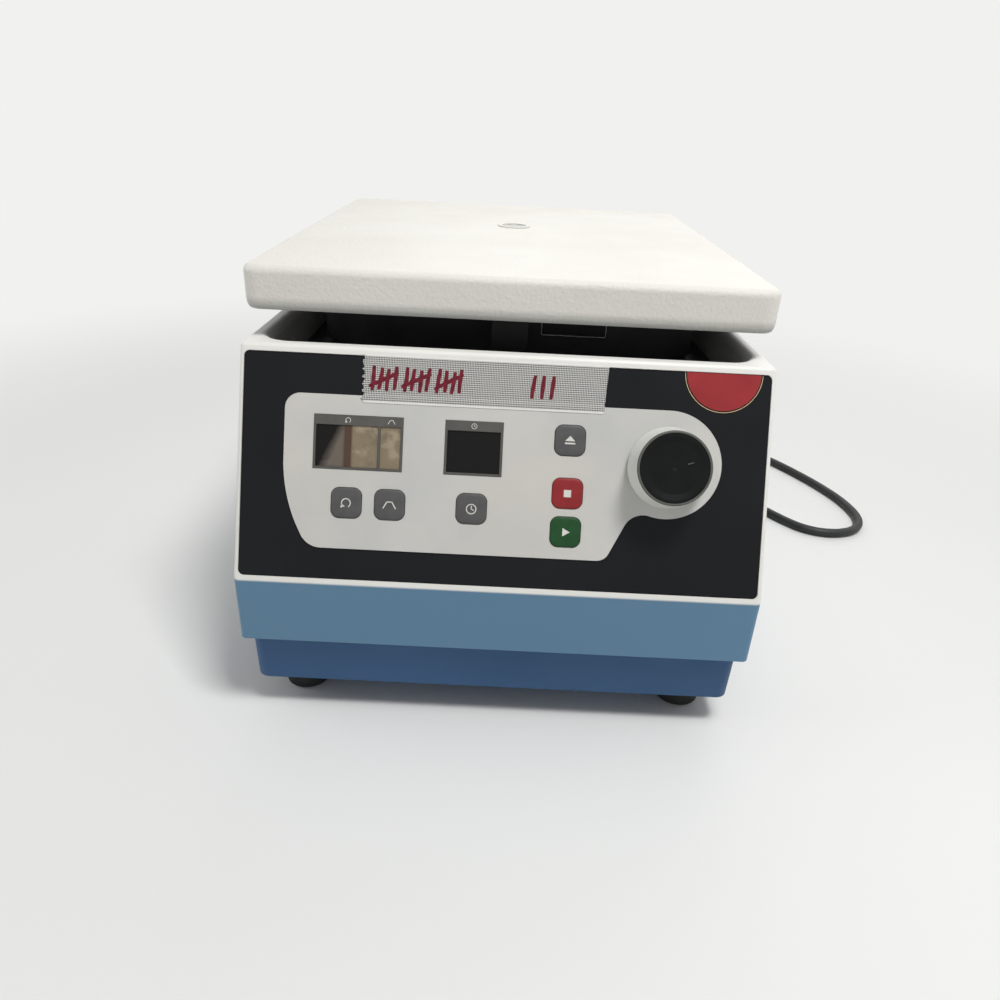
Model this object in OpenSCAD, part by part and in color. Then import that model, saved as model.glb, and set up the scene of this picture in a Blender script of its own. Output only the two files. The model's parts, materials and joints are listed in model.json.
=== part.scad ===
// Compact bench-top centrifuge with a flat hinged lid, a sloped control panel and an angle rotor.
// Millimetres. +Z up, front faces -Y. The origin lies on the table, under the middle of the case.

/* [Case] */
// Overall width of the case
body_w = 280; // [264:2:310]
// Overall depth of the case
body_d = 380; // [370:2:420]
// Wall of the moulded case
wall = 4; // [3:0.5:4.5]
// Height of the upright band under the sloped panel
band_h = 38; // [30:1:46]
// Rise of the sloped control panel
panel_rise = 114; // [110:1:130]
// Run of the sloped control panel
panel_run = 50; // [42:1:56]
// Radius of the moulded outside edges
edge_r = 3; // [2:0.5:4]
// Radius of the rear corners, seen from above
rear_r = 10; // [6:1:14]
// Width of the rim around the well
rim_w = 10; // [9:0.5:12]
// Radius along the inner edge of the rim
rim_r = 5; // [3:0.5:5]
// Depth of the well under the rim
well_depth = 24; // [20:1:28]
// Corner radius of the well
well_r = 14; // [8:1:20]

/* [Base] */
// Height of the rubber feet
foot_h = 20; // [12:1:26]
// Radius of a foot
foot_r = 15; // [11:1:17]
// Height of the base tray
base_h = 30; // [26:1:38]
// Step from the case in to the base tray
base_inset = 4; // [3:0.5:7]
// Wall of the base tray
base_wall = 3.5; // [2.5:0.5:4.5]
// Floor of the base tray
floor_t = 4; // [3:0.5:5]
// Width of one air slot in the base tray
slot_w = 4; // [3:0.5:5]
// Number of air slots in each bank
slot_count = 9; // [5:1:11]

/* [Lid] */
// Distance from the front of the case back to the front of the lid
lid_setback = 60; // [58:1:66]
// Gap between the rim and the closed lid
lid_gap = 14.5; // [13.5:0.5:18]
// Thickness of the lid at its front edge
lid_t = 22.5; // [20:0.5:28]
// Extra thickness of the lid at its rear edge
lid_rise = 4; // [0:0.5:6]
// Wall of the lid moulding
lid_wall = 3; // [2.5:0.5:4]
// Corner radius of the lid, seen from above
lid_corner_r = 9; // [7:1:14]
// Radius along the top edge of the lid
lid_top_r = 4; // [2.5:0.5:5]
// Width of the inner pan of the lid
pan_w = 236; // [232:1:242]
// Least room from the pan's side out to the side of the case
pan_side = 14; // [12:0.5:16]
// Wall of the inner pan
pan_wall = 2.5; // [2:0.5:3]
// Radius of the sight glass
sight_r = 8.5; // [6:0.5:10]

/* [Hinge] */
// Distance of each hinge from the middle of the lid
hinge_x = 105; // [95:1:108]
// Radius of the hinge pin
hinge_pin_r = 3; // [2.5:0.5:3.5]
// Radius of the hinge knuckle
knuckle_r = 5.5; // [5:0.5:6]
// Thickness of one hinge ear
ear_t = 3; // [2:0.5:4]
// Width of the lid's hinge lug
lug_w = 15.4; // [12:0.2:18]

/* [Chamber] */
// Distance of the rotor axis from the rear of the case
axis_back = 132; // [130:1:134]
// Inside radius of the chamber bowl
bowl_r = 105; // [103:0.5:106]
// Depth of the chamber bowl
bowl_depth = 92; // [88:1:94]
// Sheet thickness of the bowl
bowl_t = 1.2; // [1:0.1:2]
// Thickness of the deck plate around the bowl
deck_t = 3; // [2:0.5:4]
// Width of the rubber gasket
gasket_w = 4; // [3:0.5:5]

/* [Rotor] */
// Outside radius of the angle rotor
rotor_r = 98; // [96:0.5:99]
// Number of tube pockets
pocket_count = 6; // [4:1:6]
// Radius of a tube pocket
pocket_r = 14.75; // [12:0.25:15]
// Tilt of the tube pockets from upright
pocket_tilt = 25; // [22:1:28]
// Straight length of a tube pocket
pocket_len = 43; // [36:1:44]
// Radius of the motor shaft in its bearings
shaft_r = 6; // [5:0.5:7]
// Radius of the rotor's seat on the shaft
seat_r = 8; // [7.5:0.5:9]

/* [Motor] */
// Outside radius of the motor can
motor_r = 52; // [46:1:56]
// Outside radius of a bearing
bearing_r = 14; // [12:0.5:16]
// Width of a bearing
bearing_w = 8; // [6:0.5:8]
// Height of the rubber motor mounts
mount_h = 14; // [12:1:16]
// Radius of the rubber motor mounts
mount_r = 9; // [7:0.5:11]
// Number of stator teeth
tooth_count = 12; // [6:3:18]

/* [Panel] */
// Width of the dark front plate
fascia_w = 274.8; // [250:0.2:274.8]
// Least white border beside the dark front plate
fascia_side = 2.6; // [2:0.1:2.6]
// Thickness of the dark front plate
fascia_t = 2; // [1.5:0.25:2.25]
// Depth of the front plate under the case's sloped face
fascia_drop = 0.6; // [0.2:0.1:1]
// Thickness of the pale control field
field_t = 0.7; // [0.5:0.1:1]
// Side of a square key
key_s = 16; // [14:0.5:17]
// Corner radius of a key
key_r = 4.3; // [3:0.1:5]
// Height of a key above the control field
key_up = 1; // [0.9:0.1:1.6]
// Travel of a key
key_travel = 0.8; // [0.5:0.1:0.8]
// Radius of the knob where it meets the panel
knob_r = 21.3; // [18:0.1:23]
// Radius of the knob's dark face
knob_face_r = 18.2; // [14:0.1:18.5]
// Height of the knob
knob_h = 18; // [14:0.5:22]

/* [Latch] */
// Width of the striker plate
striker_w = 20; // [16:1:24]
// Thickness of the striker plate
striker_t = 3; // [2:0.5:4]
// Travel of the latch bolt
bolt_travel = 12; // [8:1:12]

/* [Mains] */
// Distance of the mains inlet from the middle of the rear
inlet_x = 70; // [60:1:80]
// Diameter of the mains lead
cord_d = 7.2; // [6:0.2:8]

/* [Hidden] */
$fn = 64;
eps = 0.01;

// Clearances
run_fit = 0.03;    // between a turning shaft and its bore
pin_fit = 0.04;    // between a hinge pin and the lug that turns on it
slip = 0.2;        // between pieces that drop into each other
seat_gap = 0.3;    // between a moving piece and the stop it rests by

// The case is never narrower than the lid's pan and the room beside it
case_w = max(body_w, fascia_w + 2 * fascia_side, pan_w + 2 * pan_side);

// Heights of the case
z_base = foot_h;
z_band = z_base + base_h;
z_panel = z_band + band_h;
z_rim = z_panel + panel_rise;
z_deck = z_rim - well_depth;
z_floor = z_base + floor_t;

// Depths of the case
y_front = -body_d / 2;
y_rear = body_d / 2;
y_brow = y_front + panel_run;
well_w = case_w - 2 * rim_w;
well_y0 = y_brow + rim_w;
well_y1 = y_rear - rim_w;
well_d = well_y1 - well_y0;
well_y = (well_y0 + well_y1) / 2;
tub_wall = 3;
ledge_w = 8;
ledge_t = 4;

// Sloped panel
slant = atan2(panel_run, panel_rise);
panel_len = norm([panel_run, panel_rise]);
fascia_low = 2.8;
fascia_high = 3.9;
fascia_r = 3;
fascia_h = panel_len - fascia_low - fascia_high;
fascia_s = fascia_low + fascia_h / 2;
h_fascia = -fascia_drop;
h_under = h_fascia - fascia_t;
h_field = h_fascia + field_t;
h_board = -14;
board_t = 1.6;

// Rotor axis, chamber and deck
axis_y = y_rear - axis_back;
z_deck_low = z_deck - deck_t;
z_bowl = z_deck_low - bowl_depth;
bowl_corner = 15;
bowl_flange = 8;
bowl_hole_r = 18;
gasket_h = gasket_w + 0.2;
gasket_lip = 1.3;

// Lid
lid_w = case_w;
lid_y0 = y_front + lid_setback;
lid_d = y_rear - lid_y0;
z_lid = z_rim + lid_gap;
lid_slope = atan2(lid_rise, lid_d);
lid_lip = 0.8;
z_liner = z_lid + lid_lip;
liner_t = 2.5;
pan_front = axis_y - bowl_r - 19;
pan_rear = y_rear - 22;
pan_d = pan_rear - pan_front;
pan_y = (pan_front + pan_rear) / 2;
pan_corner_r = 30;
z_pan = z_deck + gasket_h + seat_gap;
sight_tube_wall = 2;
lid_crown = (lid_corner_r - lid_top_r) * tan(lid_slope);
function lid_top(y) = z_lid + lid_t + lid_rise * (y - lid_y0) / lid_d;

// Hinge
hinge_y = y_rear - 6;
hinge_z = z_rim + knuckle_r + 1;
ear_y0 = pan_rear + 1.5;
ear_y1 = well_y1 - 1.5;
ear_gap = lug_w + 2 * seat_gap;
bracket_t = 3;
lug_foot_t = 2.5;

// Latch
latch_y = lid_y0 + 18;
striker_low = z_deck_low - 21;
window_w = 10;
window_h = 9;
window_z = striker_low + 5;
bolt_w = 8;
bolt_h = 6;
bolt_len = 26;
latch_slot_w = striker_w + 4;
latch_slot_front = 6;
latch_slot_back = 1;
latch_w = 44;
striker_front = latch_y - striker_t / 2;
striker_foot = 0.46 * (pan_front - striker_front);
z_latch = z_deck_low - ledge_t - slip / 2;
z_latch_low = z_latch - 26;

// Motor and shaft
z_plate = z_floor + mount_h;
plate_t = 3;
plate_w = 150;
mount_x = 60;
cap_t = bearing_w + 2;
z_motor = z_floor + 3;
z_motor_top = z_bowl - bowl_t - 3;
can_wall = 4;
flange_r = motor_r + 10;
flange_t = 4;
magnet_r = motor_r / 2;
z_seat = z_bowl + 11;
rotor_h = 74;
z_rotor = z_seat;
hub_recess = 10;
z_hub = z_rotor + rotor_h - hub_recess;
stud_r = 4;

// Tube pockets: the mouth lies on the rotor's sloped top, square to the pocket
mouth_r = 57;
top_flat_r = 30;
mouth_z = z_rotor + rotor_h - (mouth_r - top_flat_r) * tan(pocket_tilt);
gutter_r = mouth_r + 20;
rotor_rim_z = z_rotor + rotor_h - 6;

// Rear
rear_plate_t = 1.5;
rear_y = y_rear - wall;
rear_win_w = 240;
rear_win_h = 70;
rear_win_z = z_band + 47;
inlet_z = z_band + 40;
inlet_w = 50;
inlet_h = 40;
inlet_flange = 2.5;
socket_w = 24.5;
socket_h = 16.5;
socket_depth = 17;
socket_z = inlet_z + 7;
drawer_z = inlet_z - 12;
switch_x = inlet_x - 48;
rocker_w = 13;
rocker_l = 20;
rocker_tilt = 11;

// Control positions on the panel: x across, s up the slope from its lower edge
key_x = [-81.5, -58.8, -15.9, 34];
row_low = 43.5;
key_lid_s = 81.7;
key_stop_s = 54;
key_start_s = 33.7;
knob_x = 85.5;
knob_s = 70;

// Display frames: left edge, right edge; both share their height
disp_low = 61;
disp_top = 89.3;
disp_head = 5.2;
disp_rim = 1.2;
disp1 = [-99.8, -53.2];
disp_split = -65.6;
disp2 = [-31.3, -1];

// Route of the mains lead, from the connector to the coil; the short tail then runs to the plug
conn_len = 27;
relief_len = 32;
cord_out = rear_y + inlet_flange + conn_len + relief_len;
floor_z = cord_d / 2;
coil_x = -30;
coil_y = 250;
coil_mid_r = 38;
coil_turn_r = coil_mid_r + cord_d / 2;
route = [
    [inlet_x, cord_out, socket_z], [70.4, 258, 95.6], [71.8, 268.5, 90.4], [74.6, 277.5, 81],
    [79.5, 284, 69], [87, 288, 55.5], [97, 289.5, 42], [109, 288, 29.5], [122, 283, 19],
    [136, 274.5, 10.8], [150, 263, 5.6], [163, 248, floor_z], [175, 229, floor_z], [186, 206, floor_z],
    [196, 180, floor_z], [207, 152, floor_z], [220, 124, floor_z], [236, 97, floor_z],
    [257, 67, floor_z], [272, 55, floor_z], [290, 52, floor_z], [308, 58, floor_z], [320, 72, floor_z],
    [324, 92, floor_z], [321, 118, floor_z], [312, 146, floor_z], [299, 174, floor_z],
    [282, 204, floor_z], [260, 233, floor_z], [232, 259, floor_z], [198, 281, floor_z],
    [160, 297, floor_z], [118, 306, floor_z], [74, 308, floor_z], [30, 303, floor_z], [-2, 296, floor_z],
    [coil_x, coil_y + coil_turn_r, floor_z]
];
plug_w = 26;
plug_h = 3 * cord_d;
plug_len = 32;
plug_x = 32;
plug_relief = 30;

white_plastic = "#e6e5e0";
grey_plastic = "#c3c4c2";
panel_black = "#202124";
field_grey = "#c9c9c6";
key_grey = "#6b696b";
signal_red = "#b5353b";
signal_green = "#2f5f38";
rubber_black = "#1d1d1e";
steel = "#a9adb0";
alloy = "#b9bcbf";
board_green = "#2c5a3c";

// ---------- shared shapes ----------

// Rectangle with rounded corners, centred
module round_rect(w, d, r) {
    square([w - 2 * r, d], center = true);
    square([w, d - 2 * r], center = true);
    for (x = [-1, 1], y = [-1, 1])
        translate([x * (w / 2 - r), y * (d / 2 - r)]) circle(r);
}

module slab(w, d, h, r) linear_extrude(h) round_rect(w, d, r);

module ring(r_out, r_in, h) {
    difference() {
        cylinder(r = r_out, h = h);
        translate([0, 0, -1]) cylinder(r = r_in, h = h + 2);
    }
}

// Places its children on the sloped panel: x across, y up the slope, z out of the panel
module on_panel() translate([0, y_front, z_panel]) rotate([90 - slant, 0, 0]) children();

module on_axis(z = 0) translate([0, axis_y, z]) children();

// Places its children on the lid's gently sloped top
module on_lid_top(y) translate([0, y, lid_top(y) + lid_crown]) rotate([lid_slope, 0, 0]) children();

// Turns a profile drawn as [y, z] into a prism along x
module across(w) rotate([90, 0, 90]) translate([0, 0, -w / 2]) linear_extrude(w) children();

// A screw with its head's top at z = 0, pointing down
module screw(head_r, head_h, shank_r, shank_len) {
    translate([0, 0, -head_h]) cylinder(r = head_r, h = head_h);
    translate([0, 0, -head_h - shank_len]) cylinder(r = shank_r, h = shank_len + eps);
}

// ---------- case ----------

// Side view of the case, as [y, z]
module side_profile() polygon([
    [y_front, z_band - 30], [y_front, z_panel], [y_brow, z_rim], [y_rear, z_rim], [y_rear, z_band - 30]
]);

module case_outer() {
    x = case_w / 2;
    brow_y = y_front + edge_r * cos(slant) + (z_rim - z_panel - edge_r + edge_r * sin(slant)) * tan(slant);
    hull() {
        for (side = [-1, 1]) {
            translate([side * (x - edge_r), y_front + edge_r, z_band])
                cylinder(r = edge_r, h = band_h, $fn = 32);
            translate([side * (x - edge_r), brow_y, z_rim - edge_r]) sphere(edge_r, $fn = 32);
            translate([side * (x - rear_r), y_rear - rear_r, z_band])
                cylinder(r = rear_r, h = band_h, $fn = 32);
            translate([side * (x - rear_r), y_rear - rear_r, z_rim - edge_r])
                rotate_extrude($fn = 32) translate([rear_r - edge_r, 0]) circle(edge_r, $fn = 32);
        }
    }
}

module case_cavity() intersection() {
    across(case_w) offset(delta = -wall) side_profile();
    translate([0, 0, z_band - 1]) slab(case_w - 2 * wall, body_d - 2 * wall, z_rim, rear_r - wall);
}

// The tub that hangs from the rim and carries the deck plate on its ledge
module well_tub() translate([0, well_y, z_deck_low - ledge_t])
    slab(well_w + 2 * tub_wall, well_d + 2 * tub_wall, z_rim - z_deck_low + ledge_t - edge_r,
        well_r + tub_wall);

module well_space() {
    translate([0, well_y, z_deck_low]) slab(well_w, well_d, well_depth + 20, well_r);
    translate([0, well_y, z_deck_low - ledge_t - 1])
        slab(well_w - 2 * ledge_w, well_d - 2 * ledge_w, ledge_t + 2, well_r - 4);
}

// Rounds the inner edge of the rim: four straight runs and four corners
module rim_rounding() {
    r = rim_r;
    for (side = [-1, 1]) {
        translate([side * well_w / 2, well_y, z_rim]) rotate([90, 0, 0])
            linear_extrude(well_d - 2 * well_r, center = true) edge_cut(side, r);
        translate([0, well_y + side * well_d / 2, z_rim]) rotate([90, 0, 90])
            linear_extrude(well_w - 2 * well_r, center = true) edge_cut(side, r);
    }
    for (x = [-1, 1], y = [-1, 1])
        translate([x * (well_w / 2 - well_r), well_y + y * (well_d / 2 - well_r), z_rim])
            rotate([0, 0, atan2(y, x) - 45]) rotate_extrude(angle = 90)
                translate([well_r, 0]) edge_cut(1, r);
}

module edge_cut(side, r) difference() {
    translate([side > 0 ? -eps : -r, -r]) square([r + eps, r + 1]);
    translate([side * r, -r]) circle(r);
}

// Inward flange at the foot of the case, which stands on the base tray
module case_flange() translate([0, 0, z_band]) difference() {
    slab(case_w - wall, body_d - wall, ledge_t, rear_r - wall / 2);
    translate([0, 0, -1]) slab(case_w - 2 * wall - 16, body_d - 2 * wall - 16, ledge_t + 2, rear_r - wall);
}

pan_screw_side = 28;
pan_screw_end = 62;
pan_screw_x = case_w / 2 - pan_screw_side;
pan_screw_y = [y_front + pan_screw_end, y_rear - pan_screw_end];
screw_boss_r = 6;
case_boss_h = 12;
case_rib_w = 18;
case_rib_t = 6;
module at_pan_screws() for (x = [-1, 1], y = pan_screw_y) translate([x * pan_screw_x, y, 0]) children();

module case_bosses() for (x = [-1, 1], y = pan_screw_y) {
    translate([x * pan_screw_x, y, z_band]) cylinder(r = screw_boss_r, h = case_boss_h);
    translate([x * (pan_screw_x + case_rib_w / 2), y, z_band + case_boss_h / 2])
        cube([case_rib_w, case_rib_t, case_boss_h], center = true);
}

module panel_pocket() on_panel() {
    translate([0, fascia_s, h_under]) slab(fascia_w, fascia_h, 5 * wall, fascia_r);
    translate([0, fascia_s, -3 * wall]) slab(fascia_w - 3 * wall, fascia_h - 3 * wall, 4 * wall, fascia_r);
}

module rear_window() translate([0, y_rear + 1, rear_win_z]) rotate([90, 0, 0])
    slab(rear_win_w, rear_win_h, wall + 2, 6);

module housing() color(white_plastic) difference() {
    union() {
        difference() {
            case_outer();
            case_cavity();
        }
        well_tub();
        case_flange();
        case_bosses();
    }
    well_space();
    rim_rounding();
    panel_pocket();
    rear_window();
    at_pan_screws() translate([0, 0, z_band - 1]) cylinder(r = 2, h = case_boss_h - 1);
    at_deck_screws() translate([0, 0, -8]) cylinder(r = 1.5, h = 8);
}

// ---------- base ----------

tray_w = case_w - 2 * base_inset;
tray_d = body_d - 2 * base_inset;
tray_draft = 0.6;

module tray_outer() hull() {
    translate([0, 0, z_base]) slab(tray_w - 2 * tray_draft, tray_d - 2 * tray_draft, 0.1, 7, $fn = 32);
    translate([0, 0, z_band - 0.1]) slab(tray_w, tray_d, 0.1, 7, $fn = 32);
}

board_post_x = 82;
board_y = y_front + 75;
board_w = 180;
board_d = 86;
post_h = 8;
module at_board_posts() for (x = [-1, 1], y = [-1, 1])
    translate([x * board_post_x, board_y + y * (board_d / 2 - 6), 0]) children();

bank_x = 92;
slot_len = 70;
module air_slots() {
    pitch = slot_w * 2;
    for (bank = [-1, 1], i = [0:slot_count - 1])
        translate([bank * bank_x + (i - (slot_count - 1) / 2) * pitch / 2 * 1.2, axis_y, z_base - 1])
            slab(slot_w * 0.6, slot_len, floor_t + 2, slot_w * 0.28, $fn = 24);
}

module base_pan() color(grey_plastic) difference() {
    union() {
        difference() {
            tray_outer();
            translate([0, 0, z_floor])
                slab(tray_w - 2 * base_wall - 1, tray_d - 2 * base_wall - 1, base_h, 4);
        }
        at_pan_screws() translate([0, 0, z_base + 1]) cylinder(r = screw_boss_r, h = base_h - 1);
        at_board_posts() translate([0, 0, z_base + 1]) cylinder(r = 4, h = floor_t + post_h - 1);
    }
    air_slots();
    at_pan_screws() {
        translate([0, 0, z_base - 1]) cylinder(r = 2.2, h = base_h + 2);
        translate([0, 0, z_base - 1]) cylinder(r = 5, h = 1 + 4);
    }
}

module pan_screws() color(steel) at_pan_screws()
    translate([0, 0, z_base + 0.5]) rotate([180, 0, 0]) screw(4.5, 3, 2, base_h + case_boss_h - 7);

foot_x = case_w / 2 - foot_r - 12;
foot_y = body_d / 2 - foot_r - 16;
module feet() color(rubber_black) for (x = [-1, 1], y = [-1, 1])
    translate([x * foot_x, y * foot_y, 0]) rotate_extrude() polygon([
        [5, 0], [foot_r - 3.5, 0], [foot_r - 2.2, 1], [foot_r, foot_h - 1.5], [foot_r, foot_h],
        [0, foot_h], [0, 4], [5, 4]
    ]);

// ---------- control panel ----------

module key_square(extra = 0) round_rect(key_s + 2 * extra, key_s + 2 * extra, key_r + extra);

module at_keys() {
    for (i = [0:2]) translate([key_x[i], row_low, 0]) children();
    for (s = [key_lid_s, key_stop_s, key_start_s]) translate([key_x[3], s, 0]) children();
}

// Outline of the pale field: a box with a leaning left side and a round lobe about the knob
field_left = -115.2;
field_top = 99.8;
field_bottom = 19.3;
field_neck = 59;
lobe_r = 28.4;
lobe_s = field_top - lobe_r;
module field_outline() offset(r = -11) offset(delta = 11) {
    hull() {
        translate([field_left + 8, field_top - 8]) circle(8);
        intersection() {
            translate([field_left + 85, 66]) circle(85, $fn = 180);
            translate([field_left, field_bottom + 12]) square([30, 46 - 12]);
        }
        translate([field_left + 20.8, field_bottom + 12]) circle(12);
        translate([field_neck - 8, field_bottom + 7]) circle(7);
        translate([knob_x - 8, field_top - 20]) square([8, 20]);
    }
    translate([knob_x, lobe_s]) circle(lobe_r, $fn = 96);
}

module display_openings(grow) {
    for (d = [disp1, disp2])
        translate([d[0] - grow, disp_low - grow])
            square([d[1] - d[0] + 2 * grow, disp_top - disp_low + 2 * grow]);
}

// Pillars between the front plate and the control board, clear of the displays and keys
control_board_w = fascia_w - 22.8;
control_board_low = 8;
control_board_top = disp_top + 1.5;
pillar_x = control_board_w / 2 - 8;
pillar_mid_x = 8;
pillar_low = control_board_low + 6;
module at_board_pillars() {
    for (x = [-pillar_x, -44, pillar_mid_x, pillar_x]) translate([x, pillar_low, 0]) children();
    for (x = [-pillar_x, (disp1[1] + disp2[0]) / 2, pillar_mid_x, pillar_x])
        translate([x, disp_top - 4, 0]) children();
}

module fascia() color(panel_black) on_panel() {
    difference() {
        translate([0, fascia_s, h_under])
            slab(fascia_w - slip, fascia_h - slip, fascia_t, fascia_r - slip / 2);
        translate([0, 0, h_under - 1]) linear_extrude(fascia_t + 2) {
            display_openings(-1);
            at_keys() key_square(0.25);
        }
        translate([knob_x, knob_s, h_under - 1]) cylinder(r = 4.8, h = fascia_t + 2);
    }
    at_board_pillars() translate([0, 0, h_board]) cylinder(r = 3, h = h_under - h_board + eps);
}

module control_field() color(field_grey) on_panel() translate([0, 0, h_fascia])
    difference() {
        linear_extrude(field_t) difference() {
            field_outline();
            display_openings(0.1);
            at_keys() key_square(0.25);
        }
        translate([knob_x, knob_s, -1]) cylinder(r = 4.8, h = field_t + 2);
    }

// One display frame with its glass openings cut by the children
module display_frame(d) translate([d[0], disp_low, h_fascia]) difference() {
    cube([d[1] - d[0], disp_top - disp_low, field_t + 0.2]);
    translate([-d[0], -disp_low, -1]) children();
}

pane_low = disp_low + disp_rim;
pane_h = disp_top - disp_head - pane_low;
panes = [
    [disp1[0] + disp_rim, disp_split - disp_rim / 2],
    [disp_split + disp_rim / 2, disp1[1] - disp_rim],
    [disp2[0] + disp_rim, disp2[1] - disp_rim]
];
module pane(p, grow, h) translate([p[0] - grow, pane_low - grow])
    cube([p[1] - p[0] + 2 * grow, pane_h + 2 * grow, h]);

module display_bezels() color(key_grey) on_panel() {
    display_frame(disp1) for (i = [0, 1]) pane(panes[i], 0, 5);
    display_frame(disp2) pane(panes[2], 0, 5);
}

h_pane = h_fascia + 0.3;
pane_t = 1.4;
module display_windows() color("#17191c") on_panel()
    for (p = panes) translate([0, 0, h_pane - pane_t]) pane(p, -0.05, pane_t);

module display_modules() color("#2a2d2f") on_panel()
    for (d = [disp1, disp2]) translate([d[0] + 1.5, disp_low + 1.5, h_board])
        cube([d[1] - d[0] - 3, disp_top - disp_low - 3, h_pane - pane_t - h_board]);

inlay_x = fascia_w / 2 - 25;
inlay_r = 19.4;
module red_inlay() color(signal_red) on_panel() translate([0, 0, h_fascia]) linear_extrude(0.3)
    intersection() {
        translate([inlay_x, fascia_low + fascia_h - 0.3]) circle(inlay_r, $fn = 96);
        translate([inlay_x - inlay_r, 0]) square([2 * inlay_r, fascia_low + fascia_h - 0.3]);
    }

module control_board() color(board_green) on_panel() difference() {
    translate([-control_board_w / 2, control_board_low, h_board - board_t])
        cube([control_board_w, control_board_top - control_board_low, board_t]);
    translate([knob_x, knob_s, h_board - board_t - 1]) cylinder(r = 2, h = board_t + 2);
}

stem_low = h_under - 6.6;
module key_switches() color("#303234") on_panel() at_keys() {
    translate([-3, -3, h_board]) cube([6, 6, 3.3]);
    translate([0, 0, h_board]) cylinder(r = 1.7, h = stem_low - key_travel - 0.2 - h_board);
}

// A key cap with its retaining flange under the front plate and its plunger
module key_cap(x, s) on_panel() translate([x, s, 0]) {
    translate([0, 0, h_under - slip - eps]) linear_extrude(h_field + key_up - h_under + slip - 0.3 + eps)
        key_square();
    translate([0, 0, h_field + key_up - 0.3 - eps]) linear_extrude(0.3 + eps) key_square(-0.3);
    translate([0, 0, h_under - slip - 1.1]) linear_extrude(1.1) key_square(1.2);
    translate([0, 0, stem_low]) cylinder(r = 2.5, h = h_under - slip - 1 - stem_low);
}
module key_speed() color(key_grey) key_cap(key_x[0], row_low);
module key_ramp() color(key_grey) key_cap(key_x[1], row_low);
module key_time() color(key_grey) key_cap(key_x[2], row_low);
module key_lid() color(key_grey) key_cap(key_x[3], key_lid_s);
module key_stop() color(signal_red) key_cap(key_x[3], key_stop_s);
module key_start() color(signal_green) key_cap(key_x[3], key_start_s);

knob_shaft_r = 3;
bush_top = h_field + 3;
module at_knob() on_panel() translate([knob_x, knob_s, 0]) children();

module encoder() color(steel) at_knob() difference() {
    union() {
        translate([-7, -7, h_board]) cube([14, 14, 7]);
        translate([0, 0, h_board + 6]) cylinder(r = 4.6, h = bush_top - h_board - 6);
        translate([0, 0, h_field]) cylinder(r = 7, h = 2, $fn = 6);
    }
    translate([0, 0, h_board + 1]) cylinder(r = knob_shaft_r + run_fit, h = 30);
}

module encoder_shaft() color(alloy) at_knob()
    translate([0, 0, h_board + 1.3]) cylinder(r = knob_shaft_r, h = knob_h - 5 - h_board);

knob_foot = h_field + 0.5;
cap_recess = 2.5;
module knob_skirt() color(field_grey) at_knob() difference() {
    union() {
        translate([0, 0, knob_foot + 2])
            cylinder(r1 = knob_r, r2 = knob_face_r + 0.7, h = knob_h - knob_foot - 2);
        translate([0, 0, knob_foot]) cylinder(r1 = knob_r - 0.4, r2 = knob_r, h = 2);
    }
    translate([0, 0, knob_h - cap_recess]) cylinder(r = knob_face_r + 0.05, h = cap_recess + 1);
    difference() {
        translate([0, 0, knob_foot - 1]) cylinder(r = knob_r - 4.5, h = knob_h - cap_recess - knob_foot - 1);
        translate([0, 0, bush_top + 0.6]) cylinder(r = 6, h = knob_h);
    }
    translate([0, 0, knob_foot - 1])
        cylinder(r = knob_shaft_r + run_fit, h = knob_h - cap_recess - knob_foot);
}

module knob_cap() color(rubber_black) at_knob() rotate_extrude() polygon([
    [0, knob_h - cap_recess], [knob_face_r, knob_h - cap_recess], [knob_face_r, knob_h - 0.5],
    [knob_face_r - 0.6, knob_h], [knob_face_r - 2, knob_h], [knob_face_r - 5, knob_h - 0.8], [0, knob_h - 1]
]);

// ---------- deck, bowl and gasket ----------

deck_screw_x = well_w / 2 - 4.5;
deck_screw_y = [well_y0 + 22, well_y, well_y1 - 22];
module at_deck_screws() for (x = [-1, 1], y = deck_screw_y)
    translate([x * deck_screw_x, y, z_deck]) children();

module latch_slot(h) translate([0, latch_y + (latch_slot_back - latch_slot_front) / 2, 0])
    slab(latch_slot_w, striker_t + latch_slot_front + latch_slot_back, h, 1.5);

module deck_plate() color(panel_black) difference() {
    translate([0, well_y, z_deck_low]) slab(well_w - 2 * slip, well_d - 2 * slip, deck_t, well_r - slip);
    on_axis(z_deck_low - 1) cylinder(r = bowl_r + gasket_lip, h = deck_t + 2, $fn = 128);
    translate([0, 0, z_deck_low - 1]) latch_slot(deck_t + 2);
    at_deck_screws() {
        translate([0, 0, -deck_t - 1]) cylinder(r = 1.7, h = deck_t + 2);
        translate([0, 0, -1.5]) cylinder(r = 3.2, h = 3);
    }
}

module deck_screws() color(steel) at_deck_screws() screw(3, 1.5, 1.5, deck_t + 2);

module chamber_bowl() color(steel) on_axis() {
    r = bowl_r;
    t = bowl_t;
    c = bowl_corner;
    rotate_extrude($fn = 128) {
        difference() {
            union() {
                translate([bowl_hole_r, z_bowl - t]) square([r - c - bowl_hole_r, t]);
                translate([r, z_bowl + c]) square([t, bowl_depth - c]);
                translate([r - c, z_bowl + c]) intersection() {
                    circle(c + t);
                    translate([0, -c - t]) square([c + t, c + t]);
                }
            }
            translate([r - c, z_bowl + c]) circle(c);
        }
        translate([r, z_deck_low - t]) square([bowl_flange, t]);
        translate([bowl_hole_r - t, z_bowl - t]) square([t, 5]);
    }
}

module bowl_gasket() color(rubber_black) on_axis() rotate_extrude($fn = 128) {
    translate([bowl_r, z_deck_low]) square([gasket_lip, deck_t]);
    translate([bowl_r, z_deck]) square([gasket_w, gasket_h - gasket_w / 2]);
    translate([bowl_r + gasket_w / 2, z_deck + gasket_h - gasket_w / 2]) circle(gasket_w / 2);
}

// ---------- motor ----------

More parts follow.
